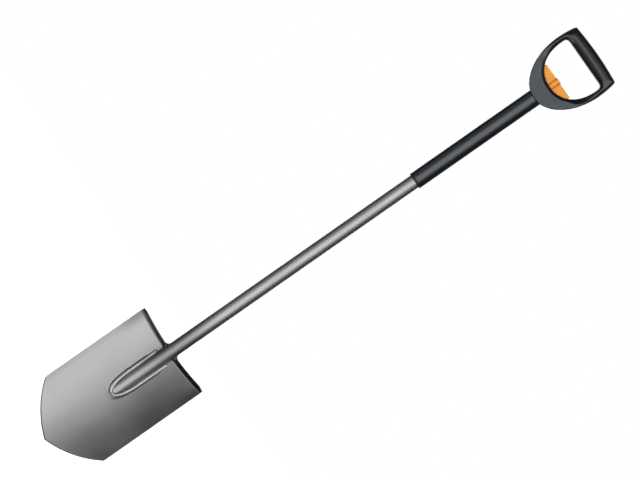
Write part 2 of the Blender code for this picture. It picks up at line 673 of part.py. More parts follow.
def grid_normals(grid):
    """Backward-pointing unit normals of a grid of points."""
    rows, columns = len(grid), len(grid[0])
    normals = []
    for i in range(rows):
        line = []
        for k in range(columns):
            up = Vector(grid[max(i - 1, 0)][k]) - Vector(grid[min(i + 1, rows - 1)][k])
            across = Vector(grid[i][min(k + 1, columns - 1)]) - Vector(grid[i][max(k - 1, 0)])
            line.append(up.cross(across).normalized())
        normals.append(line)
    return normals


def blade_body(name, material=None, parent=None, margin=0.0):
    """The blade as one sheet of even thickness; a margin makes it thicker on both faces, for a cutter."""
    grid = blade_grid()
    normals = grid_normals(grid)
    rows, columns = len(grid), len(grid[0])
    points = []
    for back in (0, 1):
        for i in range(rows):
            thickness = BLADE_THICKNESS if i < rows - 1 else BLADE_THICKNESS - GROUND_DROP
            shift = thickness + margin if back else -margin
            for k in range(columns):
                points.append(Vector(grid[i][k]) + normals[i][k] * shift)
    layer = rows * columns
    faces = []
    for i in range(rows - 1):
        for k in range(columns - 1):
            a = i * columns + k
            quad = (a, a + 1, a + 1 + columns, a + columns)
            faces.append(quad)
            faces.append(tuple(p + layer for p in reversed(quad)))
    edge = [k for k in range(columns)]
    edge += [i * columns + columns - 1 for i in range(1, rows)]
    edge += [(rows - 1) * columns + k for k in range(columns - 2, -1, -1)]
    edge += [i * columns for i in range(rows - 2, 0, -1)]
    for k, a in enumerate(edge):
        b = edge[(k + 1) % len(edge)]
        faces.append((a, b, b + layer, a + layer))
    return add_object(name, points, faces, material, parent)


def shaft_end_cutter():
    """Takes away the back of the shaft where the blade's channel rises through it."""
    steps, behind = 24, 60.0
    low, high = SHAFT_END_Z - 10.0, CHANNEL_START_Z + 8.0
    heights = [mix(low, high, k / steps) for k in range(steps + 1)]
    outline = [(channel_floor(z) - SHAFT_END_GAP, z) for z in heights] + [(behind, high), (behind, low)]
    return skin("cut_shaft_back", [[(x, y, z) for y, z in outline] for x in (-30.0, 30.0)])


def make_socket_weld(blade_cutter, shaft_cutter, parent, steel):
    """The weld bead round the shaft's end, a U seen from the front."""
    sides, steps, straight_steps = 10, 24, 6
    top_z = -956.0
    path_radius, bead_radius, tip_radius = 15.8, 3.4, 2.5
    path_end_z, path_taper = SHAFT_END_Z - 1.5, 60.0
    sharing = 2.0 / SOCKET_POWER
    half_path = []
    for k in range(steps // 2 + 1):
        turn = math.pi / 2.0 * k / (steps // 2)
        z = path_end_z + path_taper * (1.0 - math.cos(turn) ** sharing)
        half_path.append((path_radius * math.sin(turn) ** sharing, z))
    side_top = half_path[-1][1]
    for k in range(1, straight_steps + 1):
        half_path.append((path_radius, mix(side_top, top_z, k / straight_steps)))
    path = [(-x, z) for x, z in reversed(half_path[1:])] + half_path
    points = []
    for x, z in path:
        proud = mix(0.8, 2.6, ease(z, CHANNEL_WIDEST_Z, CHANNEL_TOP_Z))
        points.append(Vector((x, blade_plane(0.0, z) - proud, z)))
    last = len(points) - 1
    loops = []
    for i, point in enumerate(points):
        ahead = points[min(i + 1, last)] - points[max(i - 1, 0)]
        outward = ahead.cross(Vector((0.0, -1.0, 0.0))).normalized()
        forward = outward.cross(ahead).normalized()
        radius = mix(tip_radius, bead_radius, ease(abs(point.x), 0.0, path_radius * 0.8))
        radius *= ease(min(i, last - i), -1.5, 2.0)
        loop = []
        for k in range(sides):
            a = math.tau * k / sides
            loop.append(point + (outward * math.cos(a) + forward * math.sin(a)) * radius)
        loops.append(loop)
    bead = skin("socket_weld_bead", loops, steel, parent)
    cut(bead, blade_cutter)
    cut(bead, shaft_cutter)


def make_tread_weld(name, side, shaft_cutter, parent, steel):
    """A hollow fillet that rises from the top of the tread to the side of the shaft."""
    foot, rise, steps = 8.5, 9.5, 6
    base = BLADE_THICKNESS + 4.0 * GAP
    edge = 0.6
    inner_x = SHAFT_RADIUS - 2.0
    outline = [(inner_x, base), (SHAFT_RADIUS + foot, base)]
    for k in range(steps + 1):
        turn = math.pi / 2.0 * k / steps
        across = SHAFT_RADIUS + foot * (1.0 - math.sin(turn))
        outline.append((across, base + edge + rise * (1.0 - math.cos(turn))))
    outline.append((inner_x, base + edge + rise))
    loops = []
    for reach in (TREAD_BEND_RADIUS * TREAD_BEND + 1.0, TREAD_LENGTH - 1.0):
        forward, upward = tread_path(reach, TREAD_BEND)
        y = blade_plane(TREAD_INNER_X, CREASE_Z) - forward
        z = CREASE_Z + upward
        loops.append([(side * x, y + math.cos(TREAD_BEND) * height, z + math.sin(TREAD_BEND) * height)
                      for x, height in outline])
    weld = skin(name, loops, steel, parent)
    cut(weld, shaft_cutter)


def make_blade(parent, blade_steel, steel):
    blade_body("blade", blade_steel, parent)
    blade_cutter = blade_body("cut_blade_margin", margin=WELD_SEAT_GAP)
    shaft_cutter = turned("cut_shaft_margin", ((SHAFT_RADIUS + GAP, SHAFT_END_Z - 20.0),
                                               (SHAFT_RADIUS + GAP, CREASE_Z + 60.0)), segments=48)
    make_socket_weld(blade_cutter, shaft_cutter, parent, steel)
    for side, label in ((-1.0, "left"), (1.0, "right")):
        make_tread_weld(f"tread_weld_{label}", side, shaft_cutter, parent, steel)


def main():
    clear_scene()
    black_plastic = make_material("handle_plastic", (0.035, 0.038, 0.044), 0.0, 0.45)
    orange_plastic = make_material("trigger_plastic", (0.82, 0.33, 0.06), 0.0, 0.4)
    black_aluminium = make_material("sleeve_coating", (0.03, 0.032, 0.036), 0.3, 0.35)
    shaft_steel = make_material("shaft_steel", (0.36, 0.36, 0.36), 0.9, 0.38)
    blade_steel = make_material("blade_steel", (0.42, 0.42, 0.42), 0.9, 0.42)
    zinc_steel = make_material("fastener_steel", (0.55, 0.55, 0.56), 1.0, 0.35)
    natural_plastic = make_material("bearing_plastic", (0.05, 0.05, 0.055), 0.0, 0.5)
    rubber = make_material("seal_rubber", (0.02, 0.02, 0.02), 0.0, 0.8)

    root = make_empty("handle_frame")
    shaft_frame = make_empty("shaft_frame", SHAFT_TOP_Z)
    trigger_frame = make_empty("trigger_frame", TRIGGER_TOP_Z)
    shoe_frames = {side: make_empty(f"shoe_frame_{side}", (SHOE_TOP_Z + SHOE_BOTTOM_Z) / 2.0)
                   for side in ("left", "right")}

    make_handle(root, black_plastic, zinc_steel)
    make_trigger(trigger_frame, orange_plastic)
    make_tubes(root, shaft_frame, black_aluminium, shaft_steel, natural_plastic, rubber)
    make_lock(root, trigger_frame, shoe_frames, zinc_steel, natural_plastic, rubber)
    make_blade(shaft_frame, blade_steel, shaft_steel)


main()
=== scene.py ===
import bmesh
import bpy
import math
from mathutils import Matrix, Quaternion, Vector


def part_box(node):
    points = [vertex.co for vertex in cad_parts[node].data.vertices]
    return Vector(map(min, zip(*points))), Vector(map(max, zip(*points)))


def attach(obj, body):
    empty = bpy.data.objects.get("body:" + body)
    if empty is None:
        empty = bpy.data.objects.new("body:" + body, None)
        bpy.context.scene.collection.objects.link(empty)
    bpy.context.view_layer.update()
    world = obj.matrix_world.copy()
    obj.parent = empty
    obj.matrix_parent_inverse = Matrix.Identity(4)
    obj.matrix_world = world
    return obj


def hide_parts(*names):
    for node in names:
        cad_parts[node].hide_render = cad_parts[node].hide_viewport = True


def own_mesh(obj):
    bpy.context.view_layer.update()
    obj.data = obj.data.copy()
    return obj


# Looks of the telescopic garden spade. Lengths below are in millimetres; make_object turns them into metres.
# The frame: +Z up along the shaft, -Y the hollow front of the blade, origin under the middle of the grip bar.

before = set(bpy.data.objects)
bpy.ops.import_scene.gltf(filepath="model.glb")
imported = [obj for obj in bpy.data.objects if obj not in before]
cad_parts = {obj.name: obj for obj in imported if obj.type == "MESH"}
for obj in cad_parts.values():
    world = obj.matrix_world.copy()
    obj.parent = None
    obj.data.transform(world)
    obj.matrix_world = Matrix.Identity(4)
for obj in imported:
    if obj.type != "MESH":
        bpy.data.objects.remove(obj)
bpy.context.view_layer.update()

MM = 0.001
SMOOTH_ANGLE = math.radians(30.0)


def cad_box(node):
    """A CAD node's lowest and highest corners in millimetres."""
    low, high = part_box(node)
    return low / MM, high / MM


# ---------------------------------------------------------------- Sizes

HANDLE_LOW, HANDLE_HIGH = cad_box("handle_front_shell")
SLEEVE_LOW, SLEEVE_HIGH = cad_box("upper_tube")
COLLAR_LOW, COLLAR_HIGH = cad_box("sleeve_collar")
SHAFT_LOW, SHAFT_HIGH = cad_box("lower_shaft")
TRIGGER_LOW, TRIGGER_HIGH = cad_box("release_trigger")

GAP = 0.3
HANDLE_HALF_WIDTH = HANDLE_HIGH.x
HANDLE_WIDEST_Z = -10.8
HANDLE_CURVE_DEPTH = 104.0
HUB_HALF_DEPTH = cad_box("handle_rear_shell")[1].y
HUB_DEEPEST_Z = -84.0
ARM_THINNEST_Z = -22.0
GRIP_DIAMETER = 30.2
GRIP_CROWN_RADIUS = 630.0
NECK_Z = HANDLE_LOW.z
OPENING_HALF_WIDTH = 55.0
OPENING_WIDEST_Z = -13.0
OPENING_BOTTOM_Z = -78.0
OPENING_POWER = 2.2
RAY_CENTRE_Z = -35.0
ARM_HALF_DEPTH = 12.5
# Heights where the painted sheen on the hub's flat faces is full and where it has gone.
PAINTED_SHEEN_FULL_Z = -52.0
PAINTED_SHEEN_GONE_Z = -14.0
TRIGGER_TOP_Z = -59.1
TRIGGER_TRAVEL = 8.0
GROOVE_X = 5.2
SPRING_WELL_RADIUS = 6.6

SCREW_HEAD_HEIGHT = 2.4

SHAFT_RADIUS = SHAFT_HIGH.x
SLEEVE_RADIUS = SLEEVE_HIGH.x
BLADE_HALF_WIDTH = 94.4
BLADE_TIP_Z = cad_box("blade")[0].z
BLADE_SIDE_END_Z = BLADE_TIP_Z + 67.5
BLADE_THICKNESS = 2.0
SHAFT_END_Z = SHAFT_LOW.z
BLADE_LIFT = math.radians(10.0)
BLADE_CURVE_RADIUS = 279.0
CREASE_Z = -944.4
CREASE_RISE = 7.5
TREAD_BEND = math.radians(68.0)
TREAD_BEND_RADIUS = 5.0
TREAD_LENGTH = 14.0
TREAD_INNER_X = 16.0
CHANNEL_START_Z = -958.0
CHANNEL_TAPER_Z = -1014.0
CHANNEL_HALF_WIDTH = 15.2
SOCKET_POWER = 2.6
CHANNEL_WALL = 6.0
CHANNEL_WIDEST_Z = -980.0
CHANNEL_TOP_Z = -955.0
CHANNEL_TOP_HALF_WIDTH = 8.0


# ---------------------------------------------------------------- Mesh tools

def mix(a, b, t):
    return a + (b - a) * t


def ease(value, start, end):
    t = min(max((value - start) / (end - start), 0.0), 1.0)
    return t * t * (3.0 - 2.0 * t)


def make_object(name, points, faces):
    mesh = bpy.data.meshes.new(name)
    mesh.from_pydata([Vector(p) * MM for p in points], [], faces)
    bm = bmesh.new()
    bm.from_mesh(mesh)
    bmesh.ops.recalc_face_normals(bm, faces=bm.faces)
    bm.to_mesh(mesh)
    bm.free()
    obj = bpy.data.objects.new(name, mesh)
    bpy.context.scene.collection.objects.link(obj)
    return obj


def skin(name, loops, wrap=False):
    """Joins equal loops of points with quads; the ends are capped unless the last loop meets the first."""
    count = len(loops[0])
    points = [p for loop in loops for p in loop]
    faces = []
    for i in range(len(loops) if wrap else len(loops) - 1):
        a = i * count
        b = (i + 1) % len(loops) * count
        for k in range(count):
            n = (k + 1) % count
            faces.append((a + k, a + n, b + n, b + k))
    if not wrap:
        faces.append(tuple(range(count)))
        faces.append(tuple(range(len(points) - count, len(points))))
    return make_object(name, points, faces)


def circle(radius, along, axis="Z", centre=(0.0, 0.0), segments=96, turn=0.0):
    """A ring of points round an axis; centre is (y, z), (z, x) or (x, y) for axis X, Y or Z."""
    points = []
    for k in range(segments):
        a = turn + math.tau * k / segments
        across = centre[0] + radius * math.cos(a)
        other = centre[1] + radius * math.sin(a)
        places = {"X": (along, across, other), "Y": (other, along, across), "Z": (across, other, along)}
        points.append(places[axis])
    return points


def turned(name, profile, axis="Z", centre=(0.0, 0.0), segments=96, ring=False):
    return skin(name, [circle(r, along, axis, centre, segments) for r, along in profile], wrap=ring)


def rounded_profile(corners, radius, steps=4):
    """A turned profile whose corners, (radius, place) pairs, are rounded off; it is a closed outline."""
    outline = []
    count = len(corners)
    for i, corner in enumerate(corners):
        here = Vector(corner)
        before = Vector(corners[i - 1]) - here
        after = Vector(corners[(i + 1) % count]) - here
        reach = min(radius, before.length * 0.25, after.length * 0.25)
        start, end = here + before.normalized() * reach, here + after.normalized() * reach
        outline.append(tuple(here + before.normalized() * reach * 1.8))
        for k in range(steps + 1):
            t = k / steps
            outline.append(tuple((1 - t) ** 2 * start + 2 * t * (1 - t) * here + t ** 2 * end))
        outline.append(tuple(here + after.normalized() * reach * 1.8))
    return outline


def settle(obj):
    """Makes an object's modifiers part of its mesh."""
    bpy.context.view_layer.update()
    evaluated = obj.evaluated_get(bpy.context.evaluated_depsgraph_get())
    mesh = bpy.data.meshes.new_from_object(evaluated)
    obj.modifiers.clear()
    obj.data = mesh
    return obj


def cut(obj, *cutters):
    """Subtracts the cutters and throws them away."""
    for cutter in cutters:
        modifier = obj.modifiers.new(cutter.name, "BOOLEAN")
        modifier.object = cutter
        modifier.operation = "DIFFERENCE"
    settle(obj)
    for cutter in cutters:
        bpy.data.objects.remove(cutter, do_unlink=True)
    return obj


def round_edges(obj, width, angle=40.0, segments=3):
    modifier = obj.modifiers.new("edge_rounding", "BEVEL")
    modifier.width = width * MM
    modifier.segments = segments
    modifier.limit_method = "ANGLE"
    modifier.angle_limit = math.radians(angle)
    return settle(obj)


def dress(obj, body, material, nodes=(), angle=SMOOTH_ANGLE):
    """Shades a piece, gives it its material, ties it to its body and hides the CAD nodes it stands for."""
    obj.data.materials.clear()
    for each in material if isinstance(material, (list, tuple)) else (material,):
        obj.data.materials.append(each)
    obj.data.shade_smooth()
    obj.data.set_sharp_from_angle(angle=angle)
    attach(obj, body)
    if nodes:
        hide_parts(*nodes)
    return obj


# ---------------------------------------------------------------- Materials

class Shader:
    """A node material built from short calls; every texture reads the object's own coordinates."""

    def __init__(self, name, metallic=0.0, roughness=0.5, color=(0.5, 0.5, 0.5)):
        self.material = bpy.data.materials.new(name)
        self.material.use_nodes = True
        self.tree = self.material.node_tree
        self.principled = self.tree.nodes["Principled BSDF"]
        self.principled.inputs["Metallic"].default_value = metallic
        self.principled.inputs["Roughness"].default_value = roughness
        self.principled.inputs["Base Color"].default_value = (*color, 1.0)
        self.coordinates = self.tree.nodes.new("ShaderNodeTexCoord")

    def link(self, source, target):
        self.tree.links.new(source, target)

    def stretched(self, scale):
        """Object coordinates in millimetres, scaled along each axis."""
        node = self.tree.nodes.new("ShaderNodeMapping")
        node.inputs["Scale"].default_value = [s / MM for s in scale]
        self.link(self.coordinates.outputs["Object"], node.inputs["Vector"])
        return node.outputs["Vector"]

    def noise(self, scale, detail=3.0, roughness=0.55, distortion=0.0):
        """Noise from 0 to 1; scale is in waves per millimetre along X, Y and Z."""
        node = self.tree.nodes.new("ShaderNodeTexNoise")
        node.inputs["Scale"].default_value = 1.0
        node.inputs["Detail"].default_value = detail
        node.inputs["Roughness"].default_value = roughness
        node.inputs["Distortion"].default_value = distortion
        self.link(self.stretched(scale), node.inputs["Vector"])
        return node.outputs["Fac"]

    def cells(self, scale):
        """Distance from the nearest of many scattered points; scale is as for noise."""
        node = self.tree.nodes.new("ShaderNodeTexVoronoi")
        node.inputs["Scale"].default_value = 1.0
        self.link(self.stretched(scale), node.inputs["Vector"])
        return node.outputs["Distance"]

    def remap(self, value, low, high, to_low=0.0, to_high=1.0, smooth=True):
        node = self.tree.nodes.new("ShaderNodeMapRange")
        node.interpolation_type = "SMOOTHSTEP" if smooth else "LINEAR"
        limits = {"From Min": low, "From Max": high, "To Min": to_low, "To Max": to_high}
        for socket, number in limits.items():
            node.inputs[socket].default_value = number
        self.link(value, node.inputs["Value"])
        return node.outputs["Result"]

    def math(self, operation, first, second=0.0):
        node = self.tree.nodes.new("ShaderNodeMath")
        node.operation = operation
        for socket, value in zip(node.inputs, (first, second)):
            if isinstance(value, (int, float)):
                socket.default_value = value
            else:
                self.link(value, socket)
        return node.outputs[0]

    def blend(self, factor, first, second):
        """Mixes two colours, each a colour or an output."""
        node = self.tree.nodes.new("ShaderNodeMix")
        node.data_type = "RGBA"
        self.link(factor, node.inputs["Factor"])
        colors = [s for s in node.inputs if s.type == "RGBA"]
        for socket, color in zip(colors, (first, second)):
            if isinstance(color, (tuple, list)):
                socket.default_value = (*color, 1.0)
            else:
                self.link(color, socket)
        return [s for s in node.outputs if s.type == "RGBA"][0]

    def axis(self, name, kind="Object"):
        node = self.tree.nodes.new("ShaderNodeSeparateXYZ")
        self.link(self.coordinates.outputs[kind], node.inputs["Vector"])
        return node.outputs[name]

    def bump(self, heights, distance=0.1):
        """Adds bumps; heights are (output, strength) pairs, and distance is in millimetres."""
        previous = None
        for height, strength in heights:
            node = self.tree.nodes.new("ShaderNodeBump")
            node.inputs["Strength"].default_value = strength
            node.inputs["Distance"].default_value = distance * MM
            self.link(height, node.inputs["Height"])
            if previous:
                self.link(previous, node.inputs["Normal"])
            previous = node.outputs["Normal"]
        self.link(previous, self.principled.inputs["Normal"])

    def color(self, output):
        self.link(output, self.principled.inputs["Base Color"])

    def roughness(self, output):
        self.link(output, self.principled.inputs["Roughness"])


def blade_steel():
    """Satin rolled steel: faint lengthwise grain, cloudy tone, a little darker along the side edges, with
    painted shade toward the upper corners and under the tread.
    """
    s = Shader("blade_steel", metallic=1.0, roughness=0.37)
    clouds = s.noise((0.012, 0.012, 0.008), detail=4.0)
    grain = s.noise((1.2, 1.2, 0.05), detail=3.0, roughness=0.65)
    fine = s.noise((5.0, 5.0, 5.0), detail=2.0)
    tone = s.blend(s.remap(clouds, 0.3, 0.7), (0.245, 0.245, 0.247), (0.275, 0.275, 0.275))
    tone = s.blend(s.remap(grain, 0.35, 0.75, 0.0, 0.35), tone, (0.21, 0.21, 0.213))
    side, height = s.math("ABSOLUTE", s.axis("X")), s.axis("Z")
    # Darker along the side edges; the darkening that grows toward the upper corners is painted shade.
    corner_start, corner_full = Vector((72.0, 0.0, -1020.0)) * MM, Vector((94.0, 0.0, -945.0)) * MM
    edge = s.remap(side, (BLADE_HALF_WIDTH - 14.0) * MM, BLADE_HALF_WIDTH * MM, 0.0, 0.14)
    corner_side = s.remap(side, corner_start.x, corner_full.x, 0.0, 0.75)
    corner = s.math("MULTIPLY", corner_side, s.remap(height, corner_start.z, corner_full.z))
    tone = s.blend(s.math("MAXIMUM", edge, corner), tone, (0.10, 0.10, 0.103))
    # Painted shade: above the crease the tread is painted dark, except where its face turns upward.
    crease_curve = CREASE_RISE / BLADE_HALF_WIDTH ** 2 / MM
    above = s.math("SUBTRACT", height, s.math("MULTIPLY", s.math("POWER", side, 2.0), crease_curve))
    tread = s.remap(above, (CREASE_Z - 1.5) * MM, (CREASE_Z + 1.0) * MM)
    tread_underside_shade = s.math("MULTIPLY", tread, s.remap(s.axis("Z", "Normal"), 0.1, 0.5, 1.0, 0.0))
    s.color(s.blend(tread_underside_shade, tone, (0.09, 0.09, 0.093)))
    s.roughness(s.remap(s.math("ADD", clouds, s.math("MULTIPLY", grain, 0.4)), 0.4, 1.0, 0.32, 0.42))
    s.bump([(grain, 0.10), (fine, 0.08)], distance=0.05)
    return s.material


def ground_steel_and_tread_shade():
    """The ground cutting bevel: darker, with grinding lines across the edge; on the tread's front edge it is
    painted shade.
    """
    s = Shader("ground_steel_and_tread_shade", metallic=1.0, roughness=0.34)
    lines = s.noise((4.0, 4.0, 0.4), detail=2.0, roughness=0.7)
    s.color(s.blend(s.remap(lines, 0.3, 0.7), (0.075, 0.075, 0.08), (0.12, 0.12, 0.125)))
    s.bump([(lines, 0.25)], distance=0.05)
    return s.material


def shaft_steel():
    """Drawn steel tube with fine lengthwise lines, painted darker near the tread as shade."""
    s = Shader("shaft_steel", metallic=1.0, roughness=0.44)
    lines = s.noise((1.5, 1.5, 0.015), detail=3.0, roughness=0.6)
    clouds = s.noise((0.05, 0.05, 0.01), detail=3.0)
    tone = s.blend(s.remap(clouds, 0.3, 0.7), (0.35, 0.35, 0.353), (0.385, 0.385, 0.387))
    tone = s.blend(s.remap(lines, 0.35, 0.7, 0.0, 0.4), tone, (0.30, 0.30, 0.305))
    height = s.axis("Z")
    # Painted shade: the tube darkens toward the tread, most just above it and less further down in the
    # blade's channel.
    above_tread = s.remap(height, -925.0 * MM, -800.0 * MM, 0.9, 0.0)
    below_tread = s.remap(height, -1010.0 * MM, -945.0 * MM, 0.35, 1.0)
    painted_shade_near_tread = s.math("MULTIPLY", above_tread, below_tread)
    s.color(s.blend(painted_shade_near_tread, tone, (0.21, 0.21, 0.214)))
    s.roughness(s.remap(lines, 0.3, 0.7, 0.41, 0.47))
    s.bump([(lines, 0.08)], distance=0.04)
    return s.material


def weld_steel(name, dark, light):
    """Blasted weld metal with small pits, its tone and roughness varying with them."""
    s = Shader(name, metallic=1.0, roughness=0.45)
    pits = s.noise((0.9, 0.9, 0.9), detail=4.0, roughness=0.6)
    s.color(s.blend(s.remap(pits, 0.35, 0.7), dark, light))
    s.roughness(s.remap(pits, 0.3, 0.7, 0.38, 0.52))
    s.bump([(pits, 0.3)], distance=0.15)
    return s.material


def coated_aluminium():
    """Black satin coating with a very fine orange peel."""
    s = Shader("sleeve_coating", roughness=0.3)
    s.principled.inputs["IOR"].default_value = 1.68
    s.principled.inputs["Specular Tint"].default_value = (0.86, 0.92, 1.0, 1.0)
    peel = s.noise((0.6, 0.6, 0.3), detail=3.0)
    fine = s.noise((3.0, 3.0, 3.0), detail=2.0)
    s.color(s.blend(s.remap(peel, 0.3, 0.7), (0.0065, 0.0068, 0.008), (0.009, 0.0093, 0.0105)))
    s.roughness(s.remap(fine, 0.3, 0.7, 0.27, 0.34))
    s.bump([(peel, 0.12), (fine, 0.08)], distance=0.05)
    return s.material


def handle_plastic():
    """Black moulded plastic with a fine grain; faces turned square to the front or back low on the hub get a
    lighter grey as painted sheen.
    """
    s = Shader("handle_plastic", roughness=0.34)
    s.principled.inputs["IOR"].default_value = 1.58
    s.principled.inputs["Specular Tint"].default_value = (0.86, 0.92, 1.0, 1.0)
    grain = s.cells((2.6, 2.6, 2.6))
    clouds = s.noise((0.05, 0.05, 0.05), detail=3.0)
    # Painted sheen: faces turned square to the front or back, low on the hub, get a lighter grey as if lit
    # from the front.
    flat = s.remap(s.math("ABSOLUTE", s.axis("Y", "Normal")), 0.93, 0.985)
    low = s.remap(s.axis("Z"), PAINTED_SHEEN_FULL_Z * MM, PAINTED_SHEEN_GONE_Z * MM, 1.0, 0.0)
    face = s.math("MULTIPLY", flat, low)
    black = s.blend(s.remap(clouds, 0.3, 0.7), (0.0065, 0.0067, 0.0078), (0.009, 0.0093, 0.0105))
    painted_sheen_grey = s.blend(s.remap(clouds, 0.3, 0.7), (0.052, 0.056, 0.066), (0.060, 0.064, 0.075))
    s.color(s.blend(face, black, painted_sheen_grey))
    s.roughness(s.math("ADD", s.remap(face, 0.0, 1.0, 0.33, 0.58), s.math("MULTIPLY", grain, 0.03)))
    s.bump([(grain, 0.05)], distance=0.05)
    return s.material


def trigger_plastic():
    """Orange satin plastic, painted a darker orange in the grooves as shade."""
    s = Shader("trigger_plastic", roughness=0.4)
    s.principled.inputs["IOR"].default_value = 1.4
    grain = s.cells((3.0, 3.0, 3.0))
    clouds = s.noise((0.06, 0.06, 0.06), detail=3.0)
    # Painted shade: the grooves either side of the rib are painted a darker orange.
    side = s.math("ABSOLUTE", s.axis("X"))
    inner = s.remap(side, (GROOVE_X - 2.5) * MM, (GROOVE_X - 1.0) * MM)
    outer = s.remap(side, (GROOVE_X + 0.8) * MM, (GROOVE_X + 2.5) * MM, 1.0, 0.0)
    painted_groove_shade = s.math("MULTIPLY", inner, outer)
    orange = s.blend(s.remap(clouds, 0.3, 0.7), (0.93, 0.345, 0.030), (0.96, 0.365, 0.034))
    s.color(s.blend(painted_groove_shade, orange, (0.56, 0.17, 0.008)))
    s.roughness(s.remap(grain, 0.0, 0.6, 0.36, 0.44))
    s.bump([(grain, 0.04)], distance=0.03)
    return s.material


def inner_plastic(name, color):
    s = Shader(name, roughness=0.5)
    grain = s.noise((2.0, 2.0, 2.0), detail=3.0)
    s.color(s.blend(s.remap(grain, 0.3, 0.7), color, tuple(c * 1.4 for c in color)))
    s.roughness(s.remap(grain, 0.3, 0.7, 0.42, 0.55))
    s.bump([(grain, 0.1)], distance=0.05)
    return s.material


def zinc_steel():
    """Zinc-plated fasteners with fine turning marks."""
    s = Shader("fastener_steel", metallic=1.0, roughness=0.3)
    marks = s.noise((1.5, 6.0, 1.5), detail=2.0)
    s.color(s.blend(s.remap(marks, 0.3, 0.7), (0.34, 0.34, 0.35), (0.44, 0.44, 0.44)))
    s.roughness(s.remap(marks, 0.3, 0.7, 0.24, 0.38))
    s.bump([(marks, 0.1)], distance=0.05)
    return s.material


# ---------------------------------------------------------------- Blade

def blade_plane(x, z):
    """The blade's front face without the channel: hollow across, with the tip leaning forward."""
    centre = -SHAFT_RADIUS + math.tan(BLADE_LIFT) * (z - SHAFT_END_Z)
    return centre - (BLADE_CURVE_RADIUS - math.sqrt(BLADE_CURVE_RADIUS ** 2 - x ** 2))


def channel_floor(z):
    rise = ease(z, CHANNEL_START_Z, SHAFT_END_Z - 14.0) ** 0.8
    return mix(SHAFT_RADIUS + GAP, blade_plane(0.0, z), rise)


def channel_half_width(z):
    """Half the width of the channel's floor: narrow at the tread, and a rounded end below the shaft."""
    if z > CHANNEL_TAPER_Z:
        return mix(CHANNEL_HALF_WIDTH, CHANNEL_TOP_HALF_WIDTH, ease(z, CHANNEL_WIDEST_Z, CHANNEL_TOP_Z))
    t = min((CHANNEL_TAPER_Z - z) / (CHANNEL_TAPER_Z - SHAFT_END_Z + 8.0), 1.0)
    return CHANNEL_HALF_WIDTH * (1.0 - t ** SOCKET_POWER) ** (1.0 / SOCKET_POWER)


def blade_face(x, z):
    plane = blade_plane(x, z)
    inner = channel_half_width(z)
    return mix(max(channel_floor(z), plane), plane, ease(abs(x), inner, inner + CHANNEL_WALL))


def blade_back(x, z):
    """The sheet's rear face, as far from the front one as the sheet is thick."""
    offsets = [BLADE_THICKNESS * k / 8 for k in range(-8, 9)]
    tilt = math.cos(BLADE_LIFT)
    return max(blade_face(x + d, z) + math.sqrt(BLADE_THICKNESS ** 2 - d ** 2) / tilt for d in offsets)


def blade_bottom(x):
    """Height of the cutting edge: two arcs that meet in a point."""
    bulge = 8.5
    chord_x, chord_z = BLADE_HALF_WIDTH, BLADE_SIDE_END_Z - BLADE_TIP_Z
    half = math.hypot(chord_x, chord_z) / 2.0
    radius = (half ** 2 + bulge ** 2) / (2.0 * bulge)
    offset = (radius - bulge) / (2.0 * half)
    centre_x = chord_x / 2.0 - chord_z * offset
    centre_z = BLADE_TIP_Z + chord_z / 2.0 + chord_x * offset
    return centre_z - math.sqrt(radius ** 2 - (abs(x) - centre_x) ** 2)


def crease_height(x):
    return CREASE_Z + CREASE_RISE * (x / BLADE_HALF_WIDTH) ** 2


def tread_path(reach, bend):
    """Forward and upward travel along the tread: round the bend, then straight."""
    on_bend = min(reach / TREAD_BEND_RADIUS, bend)
    straight = max(reach - TREAD_BEND_RADIUS * bend, 0.0)
    forward = TREAD_BEND_RADIUS * (1.0 - math.cos(on_bend)) + straight * math.sin(bend)
    upward = TREAD_BEND_RADIUS * math.sin(on_bend) + straight * math.cos(bend)
    return forward, upward


def tread_point(x, share):
    crease = crease_height(x)
    ends = 1.0 - ease(abs(x), BLADE_HALF_WIDTH - 11.0, BLADE_HALF_WIDTH)
    open_side = ease(abs(x), TREAD_INNER_X - 1.5, TREAD_INNER_X + 2.0)
    length = mix(1.2, mix(8.0, TREAD_LENGTH, ends), open_side)
    bend = TREAD_BEND * ease(abs(x), TREAD_INNER_X - 4.0, TREAD_INNER_X - 1.0)
    forward, upward = tread_path(length * share, bend)
    return (x, blade_face(x, crease) - forward, crease + upward)


def blade_columns():
    near_step, near_end, far_steps = 0.75, 27.0, 34
    right = [k * near_step for k in range(int(near_end / near_step) + 1)]
    right += [mix(near_end, BLADE_HALF_WIDTH, k / far_steps) for k in range(1, far_steps + 1)]
    return [-x for x in reversed(right[1:])] + right


